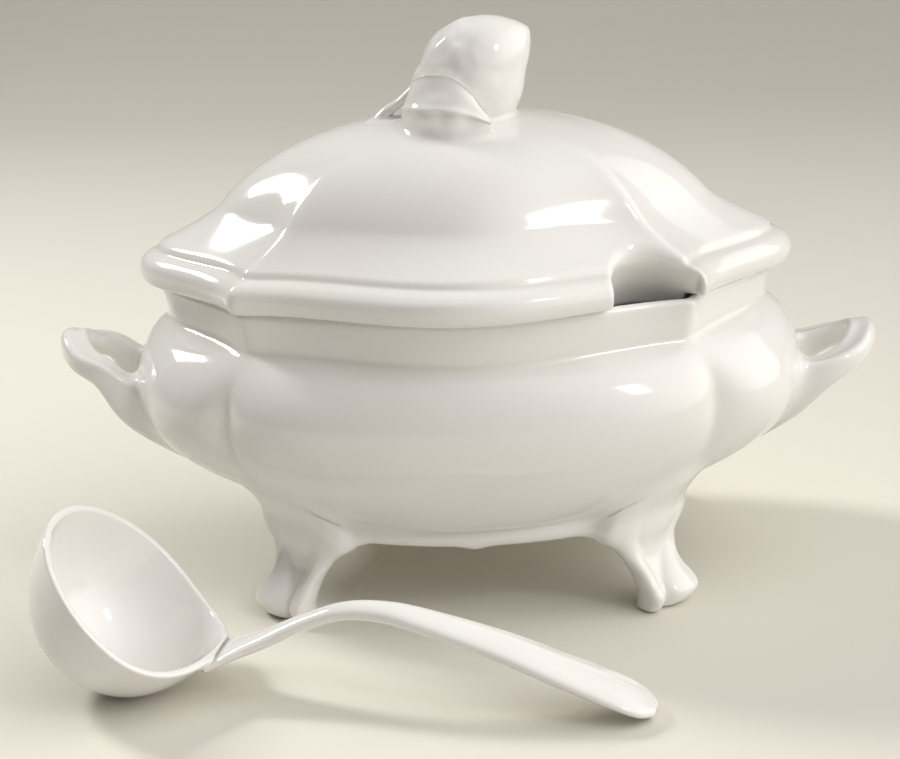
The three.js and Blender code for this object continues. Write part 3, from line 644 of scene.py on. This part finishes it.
lid_rim = level(
    LID_BASE_Z + LID_EDGE_RISE,
    [half + LID_OVERHANG for half in RIM_HALF],
    [place + LID_CORNER_OVERHANG for place in RIM_CORNER],
    FULLNESS["lid_rim"],
)
lid_step = raised(grown(lid_rim, -LID_STEP_INSET), LID_STEP_RISE - LID_EDGE_RISE)
lid_bead = raised(grown(lid_step, -LID_BEAD), LID_BEAD)
lid_waist = level(LID_BASE_Z + LID_WAIST_RISE, LID_WAIST_HALF, LID_WAIST_CORNER, FULLNESS["lid_waist"])
lid_pole = level(LID_TOP_Z, (0, 0), (0, 0), FULLNESS["lid_pole"])
LID_SPACING = 0.9
LID_SOFTNESS = (4, 2)
POLE_ROWS = 3
FOOT_PLAY = 0.1


def make_lid():
    hollow = curved(lid_bead, lid_waist, HOLLOW_BEND)
    dome = curved(lid_waist, lid_pole, DOME_BEND)[:-1]
    band = LID_STEP_RISE - LID_EDGE_RISE
    edge = [raised(grown(lid_rim, -i * LID_STEP_INSET), -d * LID_EDGE_RISE) for i, d in SEAT_EDGE]
    edge += [raised(grown(lid_rim, -i * LID_STEP_INSET), r * band) for i, r in BAND_EDGE]
    shell = [raised(grown(row, -LID_WALL * DIAGONAL), -LID_WALL * DIAGONAL) for row in dome[::-1]]
    shell_foot = grown(lid_step, -LID_WALL - LID_STEP_INSET)
    flange_top = raised(grown(mouth, -FLANGE_PLAY), SEAT_GAP)
    flange_foot = raised(grown(flange_top, -FLANGE_TAPER), -FLANGE_DEPTH)
    flange = [grown(flange_foot, -FLANGE_THICK), flange_foot, flange_top]
    inside = np.concatenate([shell[POLE_ROWS:], run([shell[-1], shell_foot, *flange])])
    groove = [raised(grown(lid_step, -inset), rise) for inset, rise in LID_GROOVE]
    outside = np.concatenate([run([flange_top, *edge, *groove, lid_bead]), hollow, dome[:-POLE_ROWS]])
    inside = spaced(inside, INSIDE_SPACING)
    foot_row = np.nonzero(inside[:, 0] < inside[:, 0].min() + FOOT_PLAY)[0][-1]
    rings = np.stack([ring(row) for row in (*inside, *spaced(outside, LID_SPACING)[1:])])
    rings = softened(rings, *LID_SOFTNESS)
    top = (0, 0, LID_TOP_Z)
    lid = loft("lid", rings, (0, 0, LID_TOP_Z - LID_WALL), top)
    filled = loft("filled lid", rings[foot_row:], (0, 0, rings[foot_row, 0, 2]), top)
    return carve(lid, filled, make_notch(NOTCH_WALL), make_notch(0), NOTCH_EDGE), filled


NOTCH_COLUMNS = 120
NOTCH_RINGS = 40
BAY_SAMPLES = 40
BAY_RIGHT_BEND = 0.6
UNDERCUT_FADE = 2


def make_notch(amount):
    """The notch as a solid, grown by an amount: a rounded bay that runs in under the lid, below the top of
    its band."""
    wide, deep, peak = NOTCH_HALF_WIDTH + amount, NOTCH_DEPTH + amount, -NOTCH_LEAN

    def bay(*handles):
        t = np.linspace(0, 1, BAY_SAMPLES)[:, None]
        a, b, c, d = (np.array(point, float) for point in handles)
        return (1 - t) ** 3 * a + 3 * (1 - t) ** 2 * t * b + 3 * (1 - t) * t**2 * c + t**3 * d

    outline = np.concatenate([
        [(-wide, -NOTCH_REACH), (wide, -NOTCH_REACH)],
        bay((wide, 0), (wide * BAY_RIGHT_BEND, deep / 2), (peak + wide / 2, deep), (peak, deep)),
        bay((peak, deep), (peak - wide / 2, deep), (-wide, deep / 2), (-wide, 0)),
    ])
    outline = even(outline, NOTCH_COLUMNS, closed=True)
    foot_z = LID_BASE_Z - FLANGE_DEPTH - WALL
    bend_z = LID_BASE_Z + LID_STEP_RISE
    turn = math.radians(NOTCH_TURN)
    corner_x, corner_y = lid_rim[5:7]
    rings = []
    for z in np.linspace(foot_z, LID_TOP_Z, NOTCH_RINGS):
        under = NOTCH_UNDERCUT * max(0, bend_z - z) / (bend_z - foot_z)
        x = outline[:, 0]
        y = outline[:, 1] + under * np.clip(outline[:, 1] / UNDERCUT_FADE, 0, 1)
        rings.append(np.stack([
            corner_x + NOTCH_SHIFT[0] + x * math.cos(turn) - y * math.sin(turn),
            -corner_y + NOTCH_SHIFT[1] + x * math.sin(turn) + y * math.cos(turn),
            np.full_like(x, z),
        ], -1))
    return loft("notch", rings)


NOTCH_EDGE = 3.2
EDGE_REACH = 5
EDGE_STEP = 0.9
EDGE_PASSES = 3
KEPT_SURFACE = 0.02


def combine(base, operation, tool):
    step = base.modifiers.new(operation, "BOOLEAN")
    step.operation = operation
    step.solver = "EXACT"
    step.object = tool


def carve(skin, filled, wall, cutter, edge):
    """A skin with a solid cut out of it and a wall left round the cut, as far as the filled form reaches.
    The cut's edges are rounded."""
    forms = [bare_object(form) for form in (skin, filled, wall, cutter)]
    body, limit, lining, tool = forms
    combine(lining, "INTERSECT", limit)
    combine(body, "UNION", lining)
    combine(body, "DIFFERENCE", tool)
    shape = bmesh.new()
    shape.from_object(body, bpy.context.evaluated_depsgraph_get())
    for done in forms:
        bpy.data.objects.remove(done)
    near = {}

    def at_edge(vertex):
        if vertex not in near:
            place = vertex.co / MM
            near[vertex] = all(
                form.tree.find_nearest(place, EDGE_REACH)[0] is not None for form in (filled, cutter)
            )
        return near[vertex]

    for _ in range(EDGE_PASSES):
        faces = [face for face in shape.faces if any(at_edge(vertex) for vertex in face.verts)]
        bmesh.ops.triangulate(shape, faces=[face for face in faces if len(face.verts) > 3])
        long = [
            line for line in shape.edges
            if line.calc_length() > EDGE_STEP * MM and all(at_edge(vertex) for vertex in line.verts)
        ]
        bmesh.ops.subdivide_edges(shape, edges=long, cuts=1)
        near.clear()
    bmesh.ops.triangulate(shape, faces=[face for face in shape.faces if len(face.verts) > 4])
    shape.verts.index_update()
    points = np.array([vertex.co for vertex in shape.verts]) / MM
    faces = [[vertex.index for vertex in face.verts] for face in shape.faces]
    chosen = np.array([vertex.index for vertex in shape.verts if at_edge(vertex)])
    shape.free()
    points[chosen], rounded = onto_blend(points[chosen], filled, cutter, edge, -1, 0)
    carved = Skin(skin.name, points, faces)
    whole = np.array([
        i for i, point in enumerate(points.tolist())
        if skin.tree.find_nearest(point, KEPT_SURFACE)[0] is not None
    ])
    carved.set_normals[whole] = skin.normals_at(points[whole])
    carved.set_normals[chosen] = rounded
    return carved


# Finial

FRUIT_CENTRE = np.array([FRUIT_X, 0, LID_TOP_Z + FRUIT_RISE])
FRUIT_COLUMNS = 128
FRUIT_RINGS = 88
FRUIT_SOFTNESS = (1, 1)
FRUIT_HEART = FRUIT_CENTRE - (0, 0, FRUIT_RISE / 3)
COLLAR_BLEND = 16
COLLAR_TOP = 5
COLLAR_FADE = 20
COLLAR_SINK = 3
PEEL_SCALE = 7
PEEL_DEPTH = 1.5
PEEL_FADE = 26
PEEL_STEEPNESS = 6
RADIAL_STEPS = 44
RADIAL_REACH = 3.0 * FRUIT_HALF_LENGTH


def fruit_field(points):
    """Roughly the distance to the lemon on its collar, negative inside."""
    tilt = math.radians(FRUIT_TILT)
    axis = np.array([math.cos(tilt), 0, math.sin(tilt)])
    from_heart = points - FRUIT_CENTRE
    along = from_heart @ axis
    beside = np.linalg.norm(from_heart - along[..., None] * axis, axis=-1)
    share = np.clip(along / FRUIT_HALF_LENGTH, -1, 1)
    girth = FRUIT_RADIUS * (1 - share**2) ** (FRUIT_POINT / 2)
    lemon = np.hypot(np.maximum(beside - girth, 0), np.maximum(np.abs(along) - FRUIT_HALF_LENGTH, 0))
    lemon = np.where(beside < girth, beside - girth, lemon)
    height = points[..., 2] - LID_TOP_Z
    top, bottom = COLLAR_RADII
    radius = bottom + (top - bottom) * np.clip(height / FRUIT_RISE, 0, 1)
    stand = np.hypot(points[..., 0] - COLLAR_X, points[..., 1]) - radius
    above = np.maximum(height - COLLAR_TOP, 0)
    collar = np.maximum(stand + above**2 / COLLAR_FADE, -COLLAR_SINK - height)
    reach = np.maximum(COLLAR_BLEND - np.abs(lemon - collar), 0)
    return np.minimum(lemon, collar) - reach**2 / (4 * COLLAR_BLEND)


def make_fruit():
    """The lemon, drawn as far out from its heart as the field is negative, with lumps mostly on its left."""
    polar = np.linspace(np.pi, 0, FRUIT_RINGS + 2)[1:-1, None]
    turn = np.linspace(0, 2 * np.pi, FRUIT_COLUMNS, endpoint=False)[None]
    ways = np.stack([
        np.sin(polar) * np.cos(turn), np.sin(polar) * np.sin(turn), np.cos(polar) + 0 * turn,
    ], -1)
    near, far = np.zeros(ways.shape[:2]), np.full(ways.shape[:2], RADIAL_REACH)
    for _ in range(RADIAL_STEPS):
        half = (near + far) / 2
        inside = fruit_field(FRUIT_HEART + ways * half[..., None]) < 0
        near, far = np.where(inside, half, near), np.where(inside, far, half)
    rings = FRUIT_HEART + ways * near[..., None]
    bumps = np.array([[noise.noise(Vector(p) / PEEL_SCALE) for p in line] for line in rings.tolist()])
    above = np.clip((rings[..., 2] - LID_TOP_Z) / FRUIT_RISE, 0, 1)
    knobbly = 1 / (1 + np.exp((rings[..., 0] - FRUIT_X) / PEEL_FADE * PEEL_STEEPNESS))
    rings += ways * (PEEL_DEPTH * bumps * above * knobbly)[..., None]
    return loft("finial_fruit", softened(rings, *FRUIT_SOFTNESS))


# From the broad end to the tip: angle round the collar, height of the upper edge as a share, and how far
# the upper edge, rib and lower edge stand off the collar
LEAF_ROWS = (
    (-158, 0.62, 6, 11, 14),
    (-146, 0.86, 7, 13, 16.5),
    (-128, 1, 6, 14, 19),
    (-107, 0.95, 4, 12, 17),
    (-90, 0.62, 4.5, 11, 15),
    (-76, 0.1, 8, 11.5, 13),
)
LEAF_SECTIONS = 110
LEAF_SAMPLES = 61
LEAF_SOFTNESS = (2, 1)
LEAF_SINK = 0.5
LEAF_FOOT = 9
LEAF_RIB_HEIGHT = 0.3
RIB_SIZE = (1.1, 0.05)
ROLL_SIZE = (1.3, 0.06)
DENT_DEPTH = 1.3
DENT_SCALE = 9


def leaf_ring(row, share_along):
    angle, share, *stand = row
    heading = np.array([math.cos(math.radians(angle)), math.sin(math.radians(angle)), 0])
    heart = np.array([COLLAR_X, 0, LID_TOP_Z])
    rises = (LEAF_HEIGHT * share, LEAF_HEIGHT * share * LEAF_RIB_HEIGHT, -LEAF_FOOT)
    edges = [
        heart + heading * (COLLAR_RADII[0] + off) + np.array([0, 0, rise]) for off, rise in zip(stand, rises)
    ]
    t = np.linspace(0, 1, LEAF_SAMPLES)[:, None]
    face = edges[0] * (2 * t - 1) * (t - 1) + edges[1] * 4 * t * (1 - t) + edges[2] * t * (2 * t - 1)
    t = t[:, 0]
    rib = RIB_SIZE[0] * np.exp(-(((t - 0.5) / RIB_SIZE[1]) ** 2))
    rolled_edge = ROLL_SIZE[0] * np.exp(-((t / ROLL_SIZE[1]) ** 2))
    dents = np.array([noise.noise(Vector(point) / DENT_SCALE) for point in face.tolist()])
    fade = np.sin(np.pi * t) * math.sin(np.pi * share_along) ** 0.5
    relief = rib + rolled_edge + DENT_DEPTH * fade * dents
    face = face + heading * relief[:, None]
    back = face[::-1] + (heart - face[::-1]) * LEAF_SINK
    return np.concatenate([face, back])


def make_leaf():
    rows = spread(LEAF_ROWS, LEAF_SECTIONS)
    shares = np.linspace(0, 1, LEAF_SECTIONS)
    rings = np.stack([leaf_ring(row, share) for row, share in zip(rows, shares)])
    return loft("finial_leaf", softened(rings, *LEAF_SOFTNESS))


# Distance from the collar's axis, height over the lid's top and girth
STEM_RUN = ((13, 22, 3.4), (19, 16.6, 3.1), (25, 11, 2.8), (32, 4.8, 2.7), (39, 0.2, 3), (45, -6, 3.2))
STEM_RINGS = 60
STEM_COLUMNS = 28
STEM_OVAL = (0.85, 1.15)


def tube(name, places, radii, columns):
    way = unit(np.gradient(places, axis=0))
    side = unit(np.cross(way, (0, 1, 0)))
    up = np.cross(side, way)
    angle = np.linspace(0, 2 * np.pi, columns, endpoint=False)
    rings = (
        places[:, None]
        + side[:, None] * (np.cos(angle) * radii[:, :1])[..., None]
        - up[:, None] * (np.sin(angle) * radii[:, 1:])[..., None]
    )
    return loft(name, rings)


def make_stem():
    rows = evenly(STEM_RUN, STEM_RINGS)
    places = np.stack([COLLAR_X - rows[:, 0], 0 * rows[:, 0], LID_TOP_Z + rows[:, 1]], -1)
    return tube("finial_stem", places, rows[:, 2:3] * STEM_OVAL, STEM_COLUMNS)


# Ladle

CUP_COLUMNS = 144
CUP_RINGS = 72
CROWN_RINGS = 8
CUP_CROWN = 1.2
RING_CROWDING = 1.6
FLARE_POWER = 4
DRAW_POWER = 3
LADLE_SOFTNESS = (1, 1)


def cup_ring(part, inset, bottom, depth):
    body = (CUP_RADIUS - inset) * math.sqrt(1 - (1 - part) ** CUP_ROUNDNESS)
    across = body + CUP_FLARE * part**FLARE_POWER
    angle = np.linspace(0, 2 * np.pi, CUP_COLUMNS, endpoint=False)
    draw = part**DRAW_POWER * np.maximum(0, np.cos(angle)) ** CUP_LIP_POINT
    return np.stack([
        (across + CUP_LIP_DRAW * draw) * np.cos(angle),
        across * np.sin(angle),
        bottom + depth * part + CUP_LIP_RISE * draw,
    ], -1)


def turned(points, axis, degrees):
    return points @ np.array(Matrix.Rotation(math.radians(degrees), 3, axis)).T


parts_down = np.linspace(0, 1, CUP_RINGS + 1)[1:] ** RING_CROWDING
cup_outside = np.stack([cup_ring(part, 0, 0, CUP_DEPTH) for part in parts_down])
cup_leaning = turned(cup_outside, "Y", CUP_TILT)
cup_low = cup_leaning.reshape(-1, 3)[cup_leaning[..., 2].argmin()]
cup_lip = cup_leaning[-1, 0] - cup_low


def lay(points):
    return turned(points, "Z", LADLE_TURN) + (LADLE_X, -BELLY_HALF[1] - LADLE_FORWARD, 0)


def place_cup(points):
    return lay(turned(np.asarray(points, float), "Y", CUP_TILT) - (cup_low[0], 0, cup_low[2]))


def make_cup():
    inner = np.stack([cup_ring(part, CUP_WALL, CUP_WALL, CUP_DEPTH - CUP_WALL) for part in parts_down[::-1]])
    turn = np.linspace(0, np.pi, CROWN_RINGS + 2)[1:-1]
    crown = [
        cup_ring(1, CUP_WALL * (1 - math.cos(a)) / 2, CUP_CROWN * math.sin(a), CUP_DEPTH) for a in turn
    ]
    rings = place_cup(softened(np.concatenate([cup_outside, crown, inner]), *LADLE_SOFTNESS))
    ends = place_cup([(0, 0, 0), (0, 0, CUP_WALL)])
    filled = loft("filled cup", rings[:len(cup_outside) + CROWN_RINGS // 2], ends[0])
    return loft("ladle_cup", rings, *ends), filled


# In the ladle's own plane: distance from the cup's lowest point, height, width and thickness
LADLE_ROWS = (
    (cup_lip[0] - 2.4, cup_lip[2] - 3.4, LADLE_NECK + 19, LADLE_THICK - 3.5),
    (cup_lip[0] + 6, cup_lip[2] + 0.9, LADLE_NECK + 11, LADLE_THICK - 2.4),
    (cup_lip[0] + 19, cup_lip[2] + 6.2, LADLE_NECK + 4, LADLE_THICK - 2),
    (cup_lip[0] + 36, LADLE_ARCH - 6, LADLE_NECK, LADLE_THICK - 2.5),
    (cup_lip[0] + 52, LADLE_ARCH - 0.5, LADLE_NECK, LADLE_THICK - 2),
    (cup_lip[0] + 68, LADLE_ARCH, LADLE_NECK + 2, LADLE_THICK - 1),
    (LADLE_LENGTH - 96, LADLE_ARCH - 3, LADLE_WIDTH - 12, LADLE_THICK - 0.5),
    (LADLE_LENGTH - 64, LADLE_ARCH - 12.2, LADLE_WIDTH - 6, LADLE_THICK),
    (LADLE_LENGTH - 35, LADLE_ARCH - 22.9, LADLE_WIDTH - 1, LADLE_THICK),
    (LADLE_LENGTH - 16, LADLE_ARCH - 30, LADLE_WIDTH, LADLE_THICK - 0.5),
    (LADLE_LENGTH - 6, 6, LADLE_WIDTH - 5, LADLE_THICK - 1.5),
    (LADLE_LENGTH - 0.4, 3.4, LADLE_WIDTH - 17, LADLE_THICK - 4),
)
LADLE_RINGS = 190
LADLE_COLUMNS = 56
SPINE_HEIGHT = 0.9
SPINE_WIDTH = 0.28
ROOT_LENGTH = 22
TABLE_GAP = 0.2


def make_ladle_handle():
    """The ladle's arched handle. Its root follows the curve of the cup's rim."""
    rows = evenly(LADLE_ROWS, LADLE_RINGS)
    way = unit(np.gradient(rows[:, :2], axis=0))
    angle = np.linspace(0, 2 * np.pi, LADLE_COLUMNS, endpoint=False)
    broad = np.clip((rows[:, 2:3] - LADLE_NECK) / (LADLE_WIDTH - LADLE_NECK), 0, 1)
    broad *= rows[:, :1] > LADLE_LENGTH / 2
    spine = SPINE_HEIGHT * np.exp(-((np.cos(angle) / SPINE_WIDTH) ** 2)) * (np.sin(angle) > 0)
    thick = np.sin(angle) * rows[:, 3:4] / 2 + spine * broad
    rings = np.stack([
        rows[:, :1] - way[:, 1:] * thick,
        np.cos(angle) * rows[:, 2:3] / 2,
        rows[:, 1:2] + way[:, :1] * thick,
    ], -1)
    quarter = CUP_COLUMNS // 4
    rim_line = np.roll(cup_leaning[-1] - cup_low, quarter, axis=0)[:2 * quarter + 1]
    near = np.clip(1 - (rows[:, :1] - rows[0, 0]) / ROOT_LENGTH, 0, 1)
    for k in (0, 2):
        rings[..., k] += near * (np.interp(rings[..., 1], rim_line[:, 1], rim_line[:, k]) - cup_lip[k])
    rings[..., 2] = np.maximum(rings[..., 2], TABLE_GAP)
    return loft("ladle_handle", lay(softened(rings, *LADLE_SOFTNESS)))


# Glaze

GLAZE_COLOUR = (0.82, 0.805, 0.785, 1)
# Warm colour that random clouds tint the glaze with, and painted shade that darkens it in hollows
TINT_AND_SHADE_COLOUR = (0.72, 0.67, 0.58, 1)
GLAZE_SURFACE = {"IOR": 1.52, "Coat Weight": 0.35, "Coat Roughness": 0.03, "Coat IOR": 1.5}

# Scale and detail of the clouds, and the ranges that they and the painted shade in hollows are spread from and
# to
TINT_CLOUD = (18, 2)
TINT_RANGE = (0.35, 0.7, 0, 0.16)
GLOSS_CLOUD = (30, 3)
GLOSS_RANGE = (0.3, 0.7, 0.05, 0.13)
HOLLOW_SHADE_RANGE = (0.5, 0.44, 0, 0.8)
RIPPLE_CLOUD = (55, 1)
RIPPLE_BUMP = (0.1, 0.0006)
PIT_SCALE = 90
PIT_RANGE = (0, 0.06, 0, 1)
PIT_BUMP = (0.25, 0.0003)


def new_material(name, surface):
    """A material with some settings of its shader: itself, its nodes, their links and the shader."""
    material = bpy.data.materials.new(name)
    material.use_nodes = True
    tree = material.node_tree
    shader = tree.nodes["Principled BSDF"]
    for setting, value in surface.items():
        shader.inputs[setting].default_value = value
    return material, tree.nodes, tree.links.new, shader


def make_glaze():
    """Warm white glaze: clear and glossy, a little darker in hollows as painted shade, with faint ripples and
    pits.
    """
    material, nodes, link, shader = new_material("glaze", GLAZE_SURFACE)
    place = nodes.new("ShaderNodeTexCoord")

    def cloud(scale, detail):
        texture = nodes.new("ShaderNodeTexNoise")
        texture.inputs["Scale"].default_value = scale
        texture.inputs["Detail"].default_value = detail
        link(place.outputs["Object"], texture.inputs["Vector"])
        return texture.outputs["Fac"]

    def ranged(value, low, high, to_low, to_high):
        change = nodes.new("ShaderNodeMapRange")
        change.inputs["From Min"].default_value = low
        change.inputs["From Max"].default_value = high
        change.inputs["To Min"].default_value = to_low
        change.inputs["To Max"].default_value = to_high
        link(value, change.inputs["Value"])
        return change.outputs["Result"]

    def mixed(share, first, second):
        mix = nodes.new("ShaderNodeMix")
        mix.data_type = "RGBA"
        link(share, mix.inputs["Factor"])
        for socket, value in ((mix.inputs["A"], first), (mix.inputs["B"], second)):
            if isinstance(value, tuple):
                socket.default_value = value
            else:
                link(value, socket)
        return mix.outputs["Result"]

    def bump(height, strength, distance):
        relief = nodes.new("ShaderNodeBump")
        relief.inputs["Strength"].default_value = strength
        relief.inputs["Distance"].default_value = distance
        link(height, relief.inputs["Height"])
        return relief

    shape = nodes.new("ShaderNodeNewGeometry")
    # Painted shade: by the surface's pointiness, hollows take the darker warm colour
    hollow = ranged(shape.outputs["Pointiness"], *HOLLOW_SHADE_RANGE)
    tint = mixed(ranged(cloud(*TINT_CLOUD), *TINT_RANGE), GLAZE_COLOUR, TINT_AND_SHADE_COLOUR)
    colour = mixed(hollow, tint, TINT_AND_SHADE_COLOUR)
    link(colour, shader.inputs["Base Color"])
    link(ranged(cloud(*GLOSS_CLOUD), *GLOSS_RANGE), shader.inputs["Roughness"])

    ripple = bump(cloud(*RIPPLE_CLOUD), *RIPPLE_BUMP)
    pits = nodes.new("ShaderNodeTexVoronoi")
    pits.inputs["Scale"].default_value = PIT_SCALE
    link(place.outputs["Object"], pits.inputs["Vector"])
    pinholes = bump(ranged(pits.outputs["Distance"], *PIT_RANGE), *PIT_BUMP)
    link(ripple.outputs["Normal"], pinholes.inputs["Normal"])
    link(pinholes.outputs["Normal"], shader.inputs["Normal"])
    return material


# Pieces in the scene

def add_object(name, data):
    made = bpy.data.objects.new(name, data)
    bpy.context.scene.collection.objects.link(made)
    return made


def bare_object(skin):
    """A skin as an object in metres, where it was drawn."""
    mesh = bpy.data.meshes.new(skin.name)
    mesh.from_pydata((skin.points * MM).tolist(), [], skin.faces)
    return add_object(skin.name, mesh)


def put(skin, body, material):
    """A skin as a glazed piece on its body, in place of the node of the same name."""
    skin.points = skin.points + (0, TUREEN_Y, 0)
    node = skin.name
    skin.name = node + "_glazed"
    piece = bare_object(skin)
    piece.data.shade_smooth()
    normals = np.where(np.isnan(skin.set_normals), smooth_normals(skin.points, skin.faces), skin.set_normals)
    piece.data.normals_split_custom_set_from_vertices(normals.tolist())
    piece.data.materials.append(material)
    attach(piece, body)
    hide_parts(node)


FOOT_SEAM = 12
HANDLE_SEAM = 9
FINIAL_SEAM = 3
LADLE_SEAM = 4


def make_set():
    glaze = make_glaze()
    bowl, filled_bowl = make_bowl()
    feet = [
        make_foot("foot_front_right", 1, 1),
        make_foot("foot_front_left", -1, 1),
        make_foot("foot_back_right", 1, -1),
        make_foot("foot_back_left", -1, -1),
    ]
    handles = [make_handle("handle_right", TIP_RISE_RIGHT, 1), make_handle("handle_left", TIP_RISE_LEFT, -1)]
    lute(bowl, filled_bowl, feet, FOOT_SEAM)
    lute(bowl, filled_bowl, handles, HANDLE_SEAM)
    settle(bowl, *feet, *handles)

    lid, filled_lid = make_lid()
    fruit = make_fruit()
    leaf = make_leaf()
    stem = make_stem()
    lute(lid, filled_lid, [fruit, leaf, stem], FINIAL_SEAM)
    settle(lid, fruit, leaf, stem)

    cup, filled_cup = make_cup()
    grip = make_ladle_handle()
    glaze_seam(cup, filled_cup, [grip], LADLE_SEAM)
    settle(cup, grip)

    for body, skins in (
        ("tureen", [bowl, *feet, *handles]),
        ("lid", [lid, fruit, leaf, stem]),
        ("ladle", [cup, grip]),
    ):
        for skin in skins:
            put(skin, body, glaze)


# Studio, in metres

FLOOR_COLOUR = (0.74, 0.71, 0.635, 1)
WALL_COLOUR = (0.47, 0.455, 0.41, 1)
FADE_START = -0.1
PAPER_SURFACE = {"Roughness": 0.8, "Specular IOR Level": 0.2}
FLOOR_REACH = 15
STAGE_HALF_WIDTH = 4
STAGE_BACK = 1.1
STAGE_HEIGHT = 2.2
STAGE_BEND = 0.7
STAGE_STEPS = 16


def make_stage():
    """A pale floor that runs far out on all sides, and a backdrop that bends up from it at the back."""
    profile = []
    for i in range(STAGE_STEPS + 1):
        turn = math.pi / 2 * i / STAGE_STEPS
        profile.append((STAGE_BACK + STAGE_BEND * math.sin(turn), STAGE_BEND * (1 - math.cos(turn))))
    profile.append((STAGE_BACK + STAGE_BEND, STAGE_HEIGHT))
    points = [(x, y, z) for y, z in profile for x in (-STAGE_HALF_WIDTH, STAGE_HALF_WIDTH)]
    faces = [(2 * i, 2 * i + 1, 2 * i + 3, 2 * i + 2) for i in range(len(profile) - 1)]
    faces.append([len(points) + i for i in range(4)])
    points += [(x * FLOOR_REACH, y * FLOOR_REACH, 0) for x, y in ((-1, -1), (1, -1), (1, 1), (-1, 1))]
    mesh = bpy.data.meshes.new("backdrop")
    mesh.from_pydata(points, [], faces)
    mesh.shade_smooth()
    backdrop = add_object("backdrop", mesh)

    material, nodes, link, shader = new_material("paper", PAPER_SURFACE)
    place = nodes.new("ShaderNodeTexCoord")
    parts = nodes.new("ShaderNodeSeparateXYZ")
    link(place.outputs["Object"], parts.inputs["Vector"])
    fade = nodes.new("ShaderNodeMapRange")
    fade.interpolation_type = "SMOOTHSTEP"
    fade.inputs["From Min"].default_value = FADE_START
    fade.inputs["From Max"].default_value = STAGE_BACK + STAGE_BEND
    link(parts.outputs["Y"], fade.inputs["Value"])
    mix = nodes.new("ShaderNodeMix")
    mix.data_type = "RGBA"
    mix.inputs["A"].default_value = FLOOR_COLOUR
    mix.inputs["B"].default_value = WALL_COLOUR
    link(fade.outputs["Result"], mix.inputs["Factor"])
    link(mix.outputs["Result"], shader.inputs["Base Color"])
    mesh.materials.append(material)


LAMP_SPREAD = 110
LAMP_COLOUR = (1, 0.99, 0.98)
LIT_HEIGHT = 0.12


def make_light(name, place, size, power):
    """A lamp that shines at the middle of the tureen."""
    lamp = bpy.data.lights.new(name, "AREA")
    lamp.shape = "RECTANGLE"
    lamp.size, lamp.size_y = size
    lamp.energy = power
    lamp.color = LAMP_COLOUR
    lamp.spread = math.radians(LAMP_SPREAD)
    stand = add_object(name, lamp)
    stand.location = place
    away = Vector((0, TUREEN_Y * MM, LIT_HEIGHT)) - Vector(place)
    stand.rotation_euler = away.to_track_quat("-Z", "Y").to_euler()


# Places, sizes and powers of the lamps
WINDOW = ((-1.31, 0.8, 1.26), (0.32, 0.5), 8)
SOFTBOX = ((1.2, -1.07, 1.4), (0.2, 0.45), 1.3)

# Where the room's own soft light comes from, and how strong it is there
ROOM_LIGHT = (
    ((1, 0, 0.25), 1.75),
    ((0.7, -0.2, 0.7), 0.85),
    ((0.7, -0.7, 0.3), 0.35),
    ((0, 0, 1), 0.6),
)
ROOM_FOCUS = 3
ROOM_COLOUR = (1, 0.985, 0.96, 1)


def make_lights():
    make_light("window", *WINDOW)
    make_light("softbox", *SOFTBOX)
    world = bpy.data.worlds.new("room")
    world.use_nodes = True
    nodes = world.node_tree.nodes
    link = world.node_tree.links.new
    sky = nodes["Background"]
    sky.inputs["Color"].default_value = ROOM_COLOUR
    way = nodes.new("ShaderNodeTexCoord")

    def worked(operation, first, second):
        step = nodes.new("ShaderNodeMath")
        step.operation = operation
        for socket, value in zip(step.inputs, (first, second)):
            if isinstance(value, (int, float)):
                socket.default_value = value
            else:
                link(value, socket)
        return step.outputs["Value"]

    total = None
    for heading, strength in ROOM_LIGHT:
        facing = nodes.new("ShaderNodeVectorMath")
        facing.operation = "DOT_PRODUCT"
        facing.inputs[1].default_value = Vector(heading).normalized()
        link(way.outputs["Generated"], facing.inputs[0])
        share = worked("POWER", worked("MAXIMUM", facing.outputs["Value"], 0), ROOM_FOCUS)
        glow = worked("MULTIPLY", share, strength)
        total = worked("ADD", total, glow) if total else glow
    link(total, sky.inputs["Strength"])
    bpy.context.scene.world = world


# The view, with its place in millimetres: from in front and a little above, the picture turned slightly
CAMERA_PLACE = (-1.15, -983.4, 406.4)
CAMERA_DOWN = 18
CAMERA_HEADING = -0.46
CAMERA_ROLL = 2.12
FOCAL_PIXELS = 2200
PICTURE_WIDTH = 900
SENSOR_WIDTH = 36
CAMERA_REACH = 20


def make_camera():
    camera = bpy.data.cameras.new("camera")
    camera.sensor_width = SENSOR_WIDTH
    camera.lens = FOCAL_PIXELS / PICTURE_WIDTH * SENSOR_WIDTH
    camera.clip_end = CAMERA_REACH
    viewer = add_object("camera", camera)
    turn = (
        Matrix.Rotation(math.radians(-CAMERA_HEADING), 4, "Z")
        @ Matrix.Rotation(math.radians(90 - CAMERA_DOWN), 4, "X")
        @ Matrix.Rotation(math.radians(-CAMERA_ROLL), 4, "Z")
    )
    place = Vector(CAMERA_PLACE) + Vector((0, TUREEN_Y, 0))
    viewer.matrix_world = Matrix.Translation(place * MM) @ turn
    bpy.context.scene.camera = viewer


make_camera()
make_stage()
make_lights()
make_set()
bpy.context.scene.view_settings.view_transform = "Standard"
